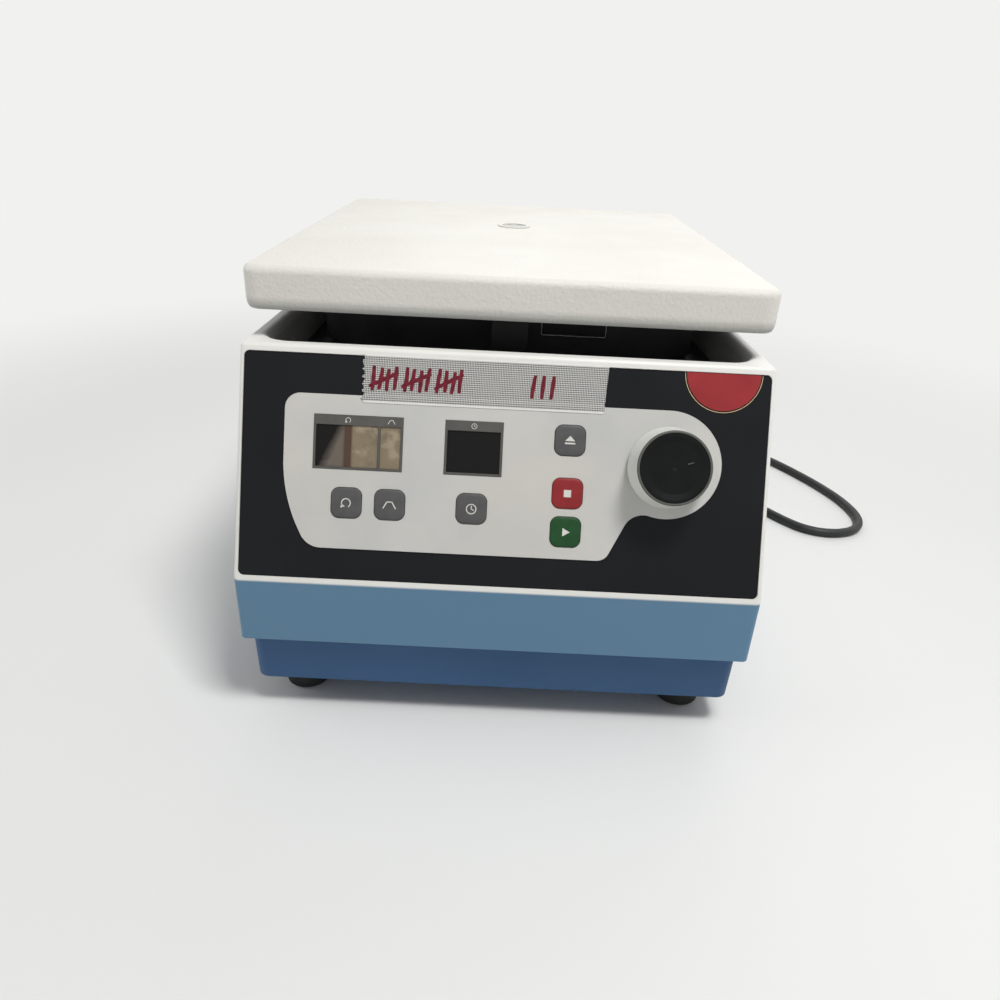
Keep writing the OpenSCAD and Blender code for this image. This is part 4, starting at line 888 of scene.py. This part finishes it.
# %% Display frames
bezel_grey = Finish("bezel_grey", "#52514e", 0.42, Specular_IOR_Level=0.3)
bezel_grey.soft_edges(0.25 * MM)
bezel_grey.drift("#5c5a56", 0.012)
bezel_grey.rough_patches(0.36, 0.5, 0.01)
bezel_grey.grain(0.3 * MM, 0.012 * MM, 0.5)
dress(bezel_grey, "display_bezels")
print("displays:", [tuple(round(v, 1) for v in c[:2]) for c in panel_box("display_bezels")])

# %% [markdown]
# The left window shows beige and mottled with a dark corner, and the right window is nearly black. The
# beige, the mottling and the dark corner are a painted reflection. The pattern is made from the place on
# the panel: each colour starts at a certain x, the dark corner's edge leans, and noise gives the mottling.
# Two small helpers multiply and add such values.

# %% Helpers for values
def product(finish, a, b):
    """a times b."""
    made = add_node(finish.tree, "ShaderNodeMath", operation="MULTIPLY")
    finish.link(a, made.inputs[0])
    finish.link(b, made.inputs[1])
    return made.outputs[0]


def weighted(finish, a, b, share):
    """a plus that share of b."""
    made = add_node(finish.tree, "ShaderNodeMath", operation="MULTIPLY_ADD")
    finish.link(b, made.inputs[0])
    made.inputs[1].default_value = share
    finish.link(a, made.inputs[2])
    return made.outputs[0]


print("helpers:", product.__name__, "and", weighted.__name__)

# %% [markdown]
# The glass starts nearly black. Three colours then go over it on the left window alone, each from its own
# x to the right, and two sizes of mottling come last. They are a painted reflection, laid on the window
# itself.

# %% Smoked windows
smoked = Finish("smoked_window", "#191818", 0.14, Specular_IOR_Level=0.12)
smoked.soft_edges(0.12 * MM)
split = add_node(smoked.tree, "ShaderNodeSeparateXYZ")
smoked.link(smoked.place(), split.inputs["Vector"])
across = split.outputs["X"]
left_end = (-52 * MM, -51 * MM)
pale_edge = (-80.4 * MM, -79.2 * MM)
left_only = smoked.span(across, *left_end, 1.0, 0.0)
mottle = smoked.noise(6 * MM, 3.0, 0.6)
leaning = weighted(smoked, weighted(smoked, across, split.outputs["Z"], -0.50), mottle, 4 * MM)
# painted reflection on the left window: three colours, then two mottlings
for colour, source, start, end in (
    ("#6e665d", leaning, -168 * MM, -163 * MM),
    ("#56443a", across, -84.8 * MM, -83.4 * MM),
    ("#887c67", across, *pale_edge),
):
    smoked.mix_in(colour, product(smoked, smoked.span(source, start, end), left_only))
for colour, size, low, high in (("#a89a84", 7 * MM, 0.50, 0.68), ("#7a6e5e", 5 * MM, 0.52, 0.7)):
    pale = product(smoked, smoked.span(across, *pale_edge), left_only)
    spots = smoked.span(smoked.noise(size, 2.0, shift=(size, 0, 0)), low, high, 0.0, 0.75)
    smoked.mix_in(colour, product(smoked, spots, pale))
smoked.rough_patches(0.08, 0.22, 8 * MM)
dress(smoked, "display_windows")
print("windows: the pale part starts at x =", round(pale_edge[0] / MM, 1), "mm")

# %% [markdown]
# ## Keys
# The six keys are moulded silicone, which is matt and picks up a little colour drift from use. One
# function gives the grey, red and green kind.

# %% Key finishes
def key_finish(name, colour, shade):
    """The silicone of a key, in a colour that drifts into a shade."""
    made = Finish(name, colour, 0.48, Specular_IOR_Level=0.25)
    made.drift(shade, 0.006, 0.4, 0.8)
    made.rough_patches(0.4, 0.56, 0.004)
    made.grain(0.35 * MM, 0.012 * MM, 0.5)
    return made


key_finishes = {
    "grey": key_finish("key_grey", "#525152", "#5b5a5b"),
    "red": key_finish("key_red", "#8e2a2d", "#822528"),
    "green": key_finish("key_green", "#1c4824", "#183f1f"),
}
print("key finishes:", sorted(key_finishes))

# %% [markdown]
# A key is square with round corners, straight sides, a soft shoulder and a slightly domed top. The
# outline shrinks along a quarter of an ellipse for the shoulder, and then towards the middle for the
# dome, whose height falls with the square of the way out.

# %% Key outline
key_side, key_corner, key_foot = 16.0, 4.3, -2.7
shoulder_in, shoulder_up, dome_up = 2.2, 0.72, 0.18


def cap_loops(side, radius, foot, top):
    """Stacked outlines of a key cap from its foot to the middle of its domed top."""
    def ring(inset, height):
        outline = rounded_loop(side - 2 * inset, side - 2 * inset, radius - inset)
        return [(x, y, height) for x, y in outline]

    side_top = top - shoulder_up - dome_up
    made = [ring(0.0, foot), ring(0.0, side_top)]
    for a in range(15, 91, 15):
        turn = math.radians(a)
        made.append(ring(shoulder_in * (1 - math.cos(turn)), side_top + shoulder_up * math.sin(turn)))
    rim = made[-1]
    for share in (0.8, 0.6, 0.4, 0.2, 0.02):
        made.append([(x * share, y * share, top - dome_up * share ** 2) for x, y, _ in rim])
    return made


print("a key has", len(cap_loops(key_side, key_corner, key_foot, 3.0)), "outlines")

# %% [markdown]
# Each cap takes its place and height from the frame's plain key, stands for it, and rides on the same
# body, so it still goes in when it is pressed.

# %% Key caps
key_colours = {
    "key_speed": "grey", "key_ramp": "grey", "key_time": "grey",
    "key_lid": "grey", "key_stop": "red", "key_start": "green",
}
key_spots = {}
for name, colour in key_colours.items():
    low, high = panel_box(name)
    key_spots[name] = panel @ Matrix.Translation(((low.x + high.x) / 2 * MM, (low.y + high.y) / 2 * MM, 0))
    mesh = skin(name + "_cap", cap_loops(key_side, key_corner, key_foot, high.z))
    cap = set_piece(name + "_cap", mesh, key_finishes[colour], nodes[name]["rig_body"], key_spots[name])
    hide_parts(name)
key_top = panel_box("key_speed")[1].z
print("keys:", len(key_spots), "with tops at", round(key_top, 2), "mm above the case's slope")

# %% [markdown]
# The keys carry plain pictograms and no words: a turning arrow for speed, a ramp for run-up and braking,
# a clock for time, the usual lift sign for the lid, a square for stop and a triangle for start. They are
# drawn as strokes and bands about half a millimetre wide.

# %% Strokes and bands
def stroke(points, width):
    """Outline of a thick line through the points, in separate straight pieces."""
    made = []
    for (ax, ay), (bx, by) in zip(points, points[1:]):
        long = math.hypot(bx - ax, by - ay)
        ux, uy = (bx - ax) / long * width / 2, (by - ay) / long * width / 2
        made.append([
            (ax - ux + uy, ay - uy - ux), (bx + ux + uy, by + uy - ux),
            (bx + ux - uy, by + uy + ux), (ax - ux - uy, ay - uy + ux),
        ])
    return made


def band(radius, width, start, end, steps=14):
    """Part of a flat ring, cut in short pieces."""
    made = []
    for k in range(steps):
        a, b = (math.radians(start + (end - start) * (k + j) / steps) for j in (0, 1))
        inner, outer = radius - width / 2, radius + width / 2
        made.append([
            (inner * math.cos(a), inner * math.sin(a)), (outer * math.cos(a), outer * math.sin(a)),
            (outer * math.cos(b), outer * math.sin(b)), (inner * math.cos(b), inner * math.sin(b)),
        ])
    return made


print("a full ring is", len(band(2.5, 0.5, 0, 360)), "pieces")

# %% [markdown]
# Each sign is a list of such outlines round its own middle, in millimetres, so the same list can stand at
# full size on a key and smaller over a display.

# %% Signs
signs = {
    "turn": band(2.3, 0.55, -60, 230, 18) + [[(-2.9, -2.6), (-0.5, -1.75), (-2.3, -0.2)]],
    "ramp": stroke([(-3.2, -1.7), (-1.3, 1.6), (1.3, 1.6), (3.2, -1.7)], 0.6),
    "clock": (
        band(2.5, 0.5, 0, 180) + band(2.5, 0.5, 180, 360)
        + stroke([(0, 1.5), (0, 0), (1.2, -0.6)], 0.5)
    ),
    "lift": [[(-2.6, -0.3), (2.6, -0.3), (0, 2.5)]] + stroke([(-2.3, -1.5), (2.3, -1.5)], 0.8),
    "square": [[(-1.9, -1.9), (1.9, -1.9), (1.9, 1.9), (-1.9, 1.9)]],
    "play": [[(-1.6, -2.2), (2.3, 0), (-1.6, 2.2)]],
}
print("signs:", sorted(signs))

# %% [markdown]
# The signs on the keys are thin plates that stand a hair out of the dome. Their undersides are sunk in
# the key, so that nothing floats where the dome falls away. They ride with their keys.

# %% Signs on the keys
print_white = Finish("print_white", "#dcdad5", 0.5)
print_white.drift("#cfccc6", 0.002)
for name, sign in (("key_speed", "turn"), ("key_ramp", "ramp"), ("key_time", "clock"),
                   ("key_lid", "lift"), ("key_stop", "square"), ("key_start", "play")):
    mesh = plates(name + "_sign", signs[sign], key_top - 0.12, key_top + 0.02)
    set_piece(name + "_sign", mesh, print_white, nodes[name]["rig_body"], key_spots[name])
print("signs on keys:", len(key_spots))

# %% [markdown]
# The display frames have a bar on top, and the same signs stand there at about half size, so each key is
# easily matched to its display.

# %% Signs over the displays
small_share = 0.55
bezel_high = panel_box("display_bezels")[1]
head_s = bezel_high.y - 2.6
heads = (("head_speed", "turn", -82.0), ("head_ramp", "ramp", -59.4), ("head_time", "clock", -16.2))
for name, sign, x in heads:
    small = [[(px * small_share, py * small_share) for px, py in outline] for outline in signs[sign]]
    mesh = plates(name, small, bezel_high.z - 0.02, bezel_high.z + 0.03)
    set_piece(name, mesh, print_white, "case", panel @ Matrix.Translation((x * MM, head_s * MM, 0)))
print("signs over displays:", [name for name, _, _ in heads])

# %% [markdown]
# ## Knob
# The knob has a light tapered skirt with a dark satin face set into it. Both are moulded. The pale
# plastic lets a little light in, which softens its shaded side, and the dark one has hardly any shine, so
# it stays dark under the lamps.

# %% Knob finishes
knob_scatter = {"Subsurface_Weight": 0.03, "Subsurface_Radius": (0.003, 0.003, 0.002)}
knob_light = Finish("knob_light", "#d9d9d4", 0.44, **knob_scatter)
knob_light.soft_edges(0.6 * MM)
knob_light.drift("#cecec9", 0.02)
knob_light.rough_patches(0.38, 0.52, 0.01)
knob_light.grain(0.4 * MM, 0.012 * MM, 0.5)
dress(knob_light, "knob_skirt")

knob_dark = Finish("knob_dark", "#131414", 0.5, Specular_IOR_Level=0.1)
knob_dark.soft_edges(0.4 * MM)
knob_dark.drift("#181a1a", 0.012)
knob_dark.rough_patches(0.36, 0.5, 0.008)
knob_dark.grain(0.45 * MM, 0.02 * MM, 0.5)
dress(knob_dark, "knob_cap")
print("knob finishes on knob_skirt and knob_cap")

# %% [markdown]
# A narrow grey trim ring closes the gap between skirt and face. It is turned: a small profile of radius
# and height goes round the knob's axis, and each point of the profile becomes one loop of the skin.

# %% Knob trim
trim_grey = Finish("trim_grey", "#5c5d57", 0.4, Specular_IOR_Level=0.3)
trim_grey.drift("#4f504b", 0.01)
trim_grey.grain(0.4 * MM, 0.008 * MM, 0.4)


def revolved(name, profile, around=96):
    """A closed profile of (radius, height) in millimetres, turned about the upright axis."""
    angles = [math.tau * k / around for k in range(around)]
    loops = [[(r * math.cos(a), r * math.sin(a), h) for a in angles] for r, h in profile]
    return skin(name, loops, closed=True)


skirt_low, skirt_high = panel_box("knob_skirt")
knob_spot = panel @ Matrix.Translation((
    (skirt_low.x + skirt_high.x) / 2 * MM, (skirt_low.y + skirt_high.y) / 2 * MM, 0
))
knob_top = skirt_high.z
trim = [(17.75, knob_top - 0.5), (19.05, knob_top - 0.5), (19.0, knob_top), (18.75, knob_top + 0.2),
        (18.0, knob_top + 0.3), (17.78, knob_top + 0.2)]
set_piece("knob_trim", revolved("knob_trim", trim), trim_grey, "knob", knob_spot)
print("knob stands", round(knob_top, 1), "mm out of the panel")

# %% [markdown]
# One small pale dash lies on the face. It is a single stroke from the helper that draws the signs, and it
# rides on the knob's body, so it goes round with it.

# %% Knob dash
cap_top = panel_box("knob_cap")[1].z
dash = plates("knob_dash", stroke([(6.6, 2.4), (9.0, 3.2)], 0.6), knob_top - 0.3, cap_top + 0.05)
dash_pale = Finish("dash_pale", "#4c4e4c", 0.45)
dash_pale.drift("#3c3e3c", 0.001)
set_piece("knob_dash", dash, dash_pale, "knob", knob_spot)
print("dash on the face at", round(cap_top, 2), "mm")

# %% [markdown]
# ## Red half-disc
# A red half-disc fills the top right corner of the front plate, with a thin cream line round it. The
# line is a printed half ring that ends where the plate ends.

# %% Red inlay and its line
inlay_red = Finish("inlay_red", "#982a2e", 0.42, Specular_IOR_Level=0.35)
inlay_red.soft_edges(0.1 * MM)
inlay_red.drift("#8c2429", 0.012)
inlay_red.rough_patches(0.34, 0.46, 0.01)
inlay_red.grain(0.3 * MM, 0.008 * MM, 0.4)
dress(inlay_red, "red_inlay")

red_low, red_high = panel_box("red_inlay")
cream = Finish("cream_line", "#c9b48a", 0.45)
cream.drift("#bda77c", 0.01)
line_radius, line_wide = 20.2, 0.35
half_ring = band(line_radius, line_wide, 181, 359, 60)
line_spot = panel @ Matrix.Translation(((red_low.x + red_high.x) / 2 * MM, red_high.y * MM, 0))
set_piece("red_line", plates("red_line", half_ring, red_low.z, red_low.z + 0.06), cream, "case", line_spot)
print("half-disc radius", round((red_high.x - red_low.x) / 2, 1), "mm")

# %% [markdown]
# ## Cloth tape
# Somebody stuck a strip of woven cloth tape across the top of the plate, and marked it with a felt pen.
# It is thin enough to follow the step from the pale field down to the dark plate and up again to the
# case's border. A simulated cloth could be laid on these steps too, but the strip is stuck down flat, and
# two soft steps and a faint ripple say the same in one formula.

# %% Tape height
tape_low_s, tape_high_s = 96.2, 121.2
tape_left, tape_right = -76.1, 51.6
tape_thick = 0.16
off_field, up_border = (99.4, 101.2), (119.6, 120.9)


def tape_height(x, s):
    """Height of the tape's middle over the case's slope: it drops off the field and climbs the border."""
    drop = 0.70 * ease(s, *off_field)
    climb = 0.62 * ease(s, *up_border)
    ripple = 0.035 * math.sin(x * 0.9 + 0.7 * s) * math.sin(x * 0.23) + 0.02 * math.sin(2.1 * x - s)
    return 0.24 - drop + climb + ripple


print("tape middle stands at", [round(tape_height(0, s), 2) for s in (97, 110, 121)], "mm")

# %% [markdown]
# The tape's left end was torn, so each row of threads ends at its own place. The mesh is a plain grid of
# rows and columns whose rows start and end a little differently. The random numbers come from a fixed
# seed, so the tape is the same in every run.

# %% Tape mesh
chance = random.Random(7)
columns, rows = 190, 50
corners = []
for j in range(rows + 1):
    s = tape_low_s + (tape_high_s - tape_low_s) * j / rows
    torn = 1.5 * chance.random() ** 2 + 0.9 * abs(math.sin(s * 0.8))
    cut = -0.9 + 1.6 * (s - tape_low_s) / 25 + 0.25 * chance.random()
    for i in range(columns + 1):
        x = tape_left + torn + (tape_right + cut - tape_left - torn) * i / columns
        corners.append((x * MM, s * MM, tape_height(x, s) * MM))
faces = []
for j in range(rows):
    for i in range(columns):
        here = j * (columns + 1) + i
        above = here + columns + 1
        faces.append((here, here + 1, above + 1, above))
tape_mesh = bpy.data.meshes.new("cloth_tape")
tape_mesh.from_pydata(corners, [], faces)
tape_mesh.shade_smooth()
print("tape:", len(tape_mesh.polygons), "faces")

# %% [markdown]
# The cloth is an open weave of off-white threads over a dark plate. Two wave patterns, one along and one
# across, draw the threads, and the brighter of the two wins at each point. The same value lifts the
# threads as a bump. A wave texture of scale 1 repeats every 0.314 m, so that length over the threads'
# distance is the scale. The cloth is soiled in patches, and both long edges are the tape's denser woven
# borders.

# %% Woven finish
cloth = Finish("woven_cloth", "#424240", 0.85, Specular_IOR_Level=0.2)
warp_step, weft_step = 0.86 * MM, 1.1 * MM
wave_length = 0.314
warp = add_node(
    cloth.tree, "ShaderNodeTexWave", bands_direction="X", Scale=wave_length / warp_step, Distortion=0.7
)
weft = add_node(
    cloth.tree, "ShaderNodeTexWave", bands_direction="Y", Scale=wave_length / weft_step, Distortion=0.7
)
for wave in (warp, weft):
    wave.inputs["Detail Scale"].default_value = 2.0
    cloth.link(cloth.place(), wave.inputs["Vector"])
either = add_node(cloth.tree, "ShaderNodeMath", operation="MAXIMUM")
cloth.link(warp.outputs["Fac"], either.inputs[0])
cloth.link(weft.outputs["Fac"], either.inputs[1])
cloth.mix_in("#dad9d5", cloth.span(either.outputs[0], 0.58, 0.98))
cloth.drift("#a9a8a4", 0.008, 0.5, 0.85)
up_slope = add_node(cloth.tree, "ShaderNodeSeparateXYZ")
cloth.link(cloth.place(), up_slope.inputs["Vector"])
middle_s = (tape_low_s + tape_high_s) / 2 * MM
open_half = 11.4 * MM
in_middle = add_node(cloth.tree, "ShaderNodeMath", operation="COMPARE")
for key, number in ((1, middle_s), (2, open_half)):
    in_middle.inputs[key].default_value = number
cloth.link(up_slope.outputs["Y"], in_middle.inputs[0])
border = cloth.span(in_middle.outputs[0], 0.0, 1.0, 0.85, 0.0)
cloth.mix_in("#f2f1ee", border)
cloth.bump(either.outputs[0], 0.12 * MM, 0.8)
print("threads every", round(warp_step / MM, 2), "and", round(weft_step / MM, 2), "mm")

# %% [markdown]
# The grid has no thickness yet. A solidify modifier gives it some, half above and half below its middle.
# The faces could be doubled by hand too, but the modifier keeps the grid simple, and the height formula
# stays that of the tape's middle.

# %% Tape in place
tape = set_piece("cloth_tape", tape_mesh, cloth, "case")
thickness = tape.modifiers.new("thickness", "SOLIDIFY")
thickness.thickness = tape_thick * MM
thickness.offset = 0
print("tape is", tape_thick, "mm thick")

# %% [markdown]
# The marks on the tape are plain tally strokes of a felt pen: four upright and one across. Each is a
# ribbon of two rails that wavers a little and is widest in its middle. It takes its height from the same
# formula as the tape, so it lies on the cloth everywhere.

# %% Pen strokes
ink = Finish("felt_ink", "#74202f", 0.7, Specular_IOR_Level=0.2)
ink.drift("#571522", 0.002, 0.4, 0.7)


def ink_stroke(x0, s0, x1, s1, width=2.0, steps=14):
    """Two rails of points along one pen stroke, which wavers a little."""
    long = math.hypot(x1 - x0, s1 - s0)
    side_x, side_s = -(s1 - s0) / long, (x1 - x0) / long
    made = []
    for k in range(steps + 1):
        t = k / steps
        half = width / 2 * (0.8 + 0.25 * math.sin(math.pi * t) + 0.08 * chance.random())
        sway = 0.25 * math.sin(2.6 * t + x0)
        mid_x, mid_s = x0 + (x1 - x0) * t + sway * side_x, s0 + (s1 - s0) * t + sway * side_s
        made.append([(mid_x + half * e * side_x, mid_s + half * e * side_s) for e in (-1, 1)])
    return made


strokes = []
for start in (-70.5, -53.5, -36.5):
    for k in range(4):
        x = start + 3.8 * k
        strokes.append(ink_stroke(x, 102.8 + 0.6 * (k % 2), x + 1.2, 115.6 - 0.7 * (k % 3)))
    strokes.append(ink_stroke(start - 1.6, 105.0, start + 13.6, 112.8))
strokes += [ink_stroke(13 + 4.8 * k, 102.6, 14.4 + 4.8 * k, 114.6) for k in range(3)]
print("pen strokes:", len(strokes))

# %% [markdown] All strokes become one mesh that stands a hair over the cloth.

# %% Tape marked
ink_over = 0.16
corners, faces = [], []
for rails in strokes:
    first = len(corners)
    for pair in rails:
        corners += [(x * MM, s * MM, (tape_height(x, s) + ink_over) * MM) for x, s in pair]
    for k in range(len(rails) - 1):
        a = first + 2 * k
        faces.append((a, a + 2, a + 3, a + 1))
ink_mesh = bpy.data.meshes.new("tally_marks")
ink_mesh.from_pydata(corners, [], faces)
marks = set_piece("tally_marks", ink_mesh, ink, "case")
print("marks:", len(ink_mesh.polygons), "faces")

# %% [markdown]
# ## Lid details
# The sight window in the lid's middle is frosted clear plastic: part of the light goes through it and is
# scattered by a rough surface.

# %% Sight window
sight_clear = Finish("sight_clear", "#d4d6d3", 0.3, Transmission_Weight=0.35, IOR=1.49)
sight_clear.drift("#bfc1be", 0.006)
sight_clear.rough_patches(0.22, 0.4, 0.004)
sight_clear.grain(0.5 * MM, 0.01 * MM, 0.4)
dress(sight_clear, "sight_window")
print("sight window dressed with", sight_clear.material.name)

# %% [markdown]
# On the front wall of the lid's black pan sits a small black plate with a thin light outline. It is left
# bare. A straight line that is shot at the wall tells where its face is, so the plate lies on it.

# %% Bare plate
def first_hit(name, start, along):
    """Where a straight line from start first meets a frame node."""
    found, place, _, _ = nodes[name].ray_cast(Vector(start), Vector(along))
    return place if found else None


plate_x, plate_z = 39, 201.5
plate_wide, plate_tall = 41, 16
pan_wall = first_hit("lid_liner", (0.040, -0.3, 0.200), (0, 1, 0))
upright = Matrix.Translation((plate_x * MM, pan_wall.y, plate_z * MM)) @ Matrix.Rotation(math.pi / 2, 4, "X")
plate_black = Finish("plate_black", "#1a1b1c", 0.35, Coat_Weight=0.1)
plate_black.drift("#242627", 0.004)
plate_black.grain(0.7 * MM, 0.03 * MM, 0.6)
outline_pale = Finish("outline_pale", "#f6f7f4", 0.5)
outline_pale.drift("#d2d4d0", 0.004)
plate = plates("bare_plate", [rounded_loop(plate_wide, plate_tall, 1.2)], -0.05, 0.25)
set_piece("bare_plate", plate, plate_black, "lid", upright)
outer_loop, inner_loop = rounded_loop(39.6, 14.6, 1.0), rounded_loop(38.6, 13.6, 0.6)
edge_line = []
for k in range(len(outer_loop)):
    after = (k + 1) % len(outer_loop)
    edge_line.append([outer_loop[k], outer_loop[after], inner_loop[after], inner_loop[k]])
set_piece("plate_outline", plates("plate_outline", edge_line, 0.2, 0.3), outline_pale, "lid", upright)
print("plate sits on the pan's wall at y =", round(pan_wall.y, 4))

# %% [markdown]
# ## Screw heads
# The frame's screws have plain round heads, and one node holds several screws. Each screw is one island
# of that node's mesh: vertices that share a face or a place belong together. A small union of sets finds
# the islands, and the top of an island's box is the screw's head.

# %% Find the screws
def islands(name):
    """Boxes of the separate solids in a node, from the vertices that its faces join."""
    mesh = nodes[name].data
    seen = {}
    for v in mesh.vertices:
        seen.setdefault(tuple(round(c, 6) for c in v.co), []).append(v.index)
    parent = list(range(len(mesh.vertices)))

    def root(i):
        while parent[i] != i:
            parent[i] = parent[parent[i]]
            i = parent[i]
        return i

    for same in seen.values():
        for i in same[1:]:
            parent[root(i)] = root(same[0])
    for face in mesh.polygons:
        for i in face.vertices[1:]:
            parent[root(i)] = root(face.vertices[0])
    groups = {}
    for v in mesh.vertices:
        groups.setdefault(root(v.index), []).append(v.co)
    return [
        (Vector(min(p[i] for p in g) for i in range(3)), Vector(max(p[i] for p in g) for i in range(3)))
        for g in groups.values()
    ]


screws = {name: islands(name) for name in ("deck_screws", "pan_screws")}
print("screws:", {name: len(found) for name, found in screws.items()})

# %% [markdown]
# A dark cross on each head makes the drive, and its dark is painted shade of the recess. The deck's screws
# look up and the pan's screws look down, and each cross is turned differently, as no two screws stop at
# the same angle.

# %% Crosses on the screws
# painted shade: the dark of a drive recess, on a flat cross
recess_shade_dark = Finish("recess_shade_dark", "#2a2b2d", 0.5, metallic=0.6)
recess_shade_dark.drift("#1d1e1f", 0.002)
arm, arm_wide = 1.3, 0.55
cross = stroke([(-arm, 0), (arm, 0)], arm_wide) + stroke([(0, -arm), (0, arm)], arm_wide)
for name, upward in (("deck_screws", True), ("pan_screws", False)):
    for k, (low, high) in enumerate(screws[name]):
        spot = Vector(((low.x + high.x) / 2, (low.y + high.y) / 2, high.z if upward else low.z))
        turn = Matrix.Rotation(0 if upward else math.pi, 4, "X") @ Matrix.Rotation(0.4 + 0.9 * k, 4, "Z")
        mesh = plates(name + "_cross", cross, -0.3, 0.04)
        set_piece(f"{name}_cross_{k + 1}", mesh, recess_shade_dark, "case", Matrix.Translation(spot) @ turn)
print("crosses on", sum(len(found) for found in screws.values()), "screws")

# %% [markdown]
# ## Rotor numbers
# The pockets of a rotor are numbered, so that tubes can be told apart and opposite pockets balanced.
# Plain figures 1 to 6 stand on the rotor's flat top, each beside its pocket.

# %% Rotor numbers
engraved = Finish("engraved", "#3a3c3f", 0.6)
engraved.drift("#2e3033", 0.002)
number_out = 25.2 * MM
for k in range(6):
    angle = math.radians(60 * k)
    letter = bpy.data.curves.new("figure", "FONT")
    letter.body = str(k + 1)
    letter.size = 7 * MM
    letter.extrude = 0.05 * MM
    letter.align_x = "CENTER"
    letter.align_y = "CENTER"
    shape = bpy.data.objects.new("figure", letter)
    bpy.context.scene.collection.objects.link(shape)
    bpy.context.view_layer.update()
    mesh = bpy.data.meshes.new_from_object(shape.evaluated_get(bpy.context.evaluated_depsgraph_get()))
    bpy.data.objects.remove(shape)
    mesh.materials.clear()
    place = Vector((number_out * math.cos(angle), axis_y + number_out * math.sin(angle), 0))
    top = first_hit("rotor_head", (place.x, place.y, 0.3), (0, 0, -1))
    spot = Matrix.Translation((place.x, place.y, top.z)) @ Matrix.Rotation(angle - math.pi / 2, 4, "Z")
    set_piece(f"pocket_number_{k + 1}", mesh, engraved, "rotor", spot)
print("rotor numbers 1 to 6 at z =", round(top.z, 4))

# %% [markdown]
# ## Lead fittings
# The connector has moulded grip ribs: thin rounded frames round its body. A rib is a skin of five
# outlines with its last joined to its first, which gives a small rounded profile all the way round.

# %% Rib shape
rib_thick, rib_deep = 0.6, 0.35


def rib(width, height, radius, thick, deep):
    """A rounded frame round a body: a small rounded profile swept along a rounded rectangle."""
    profile = (
        (-deep, -thick), (deep * 0.8, -thick * 0.6), (deep, 0), (deep * 0.8, thick * 0.6), (-deep, thick)
    )
    loops = []
    for grow, z in profile:
        outline = rounded_loop(width + 2 * grow, height + 2 * grow, radius + grow)
        loops.append([(x, y, z) for x, y in outline])
    return skin("rib", loops, closed=True)


print("a rib is", 2 * rib_thick, "mm wide and stands", rib_deep, "mm out")

# %% [markdown]
# The body's width and height are measured on the frame, by lines shot at it from above, below and the
# left, so the ribs fit round it.

# %% Connector ribs
connector_x, probe_y = 0.070, 0.205
hit_top = first_hit("cord_connector", (connector_x, probe_y, 0.3), (0, 0, -1))
hit_low = first_hit("cord_connector", (connector_x, probe_y, 0.0), (0, 0, 1))
connector_z = (hit_top.z + hit_low.z) / 2
hit_left = first_hit("cord_connector", (0.0, probe_y, connector_z), (1, 0, 0))
body_w = 2 * (connector_x - hit_left.x) / MM
body_h = (hit_top.z - hit_low.z) / MM
facing_back = Matrix.Rotation(-math.pi / 2, 4, "X")
first_rib, rib_step = 0.2000, 0.0032
for k in range(4):
    spot = Matrix.Translation((connector_x, first_rib + rib_step * k, connector_z)) @ facing_back
    made = rib(body_w, body_h, 4, rib_thick, rib_deep)
    set_piece(f"connector_rib_{k + 1}", made, cord_rubber, "case", spot)
print("connector body", round(body_w, 1), "x", round(body_h, 1), "mm")

# %% [markdown]
# A soft strap keeps the coil together. It is a flat band bent round the four strands of the bundle: two
# rounded outlines, a little larger than the bundle, joined at both edges. Its deep fine grain tells the
# cloth from the smooth rubber under it.

# %% Strap
strap_cloth = Finish("strap", "#222326", 0.8, Specular_IOR_Level=0.25)
strap_cloth.drift("#34363a", 0.003)
strap_cloth.grain(0.35 * MM, 0.06 * MM, 0.8)
bundle = 2 * lead_d / MM
strap_half = 4
strap_loops = []
strap_inner, strap_outer = 0.05, 0.75
for grow in (strap_inner, strap_outer):
    strap_loops.append(rounded_loop(bundle + 2 * grow, bundle + 2 * grow, lead_d / 2 / MM + grow))
edges = ((0, -strap_half), (1, -strap_half), (1, strap_half), (0, strap_half))
profile = [[(x, y, z) for x, y in strap_loops[i]] for i, z in edges]
strap_spot = Matrix.Translation((coil_centre.x - coil_mid, coil_centre.y, lead_d + 0.0004)) @ facing_back
strap = set_piece("coil_strap", skin("coil_strap", profile, closed=True), strap_cloth, "case", strap_spot)
print("strap is", 2 * strap_half, "mm wide")

# %% [markdown]
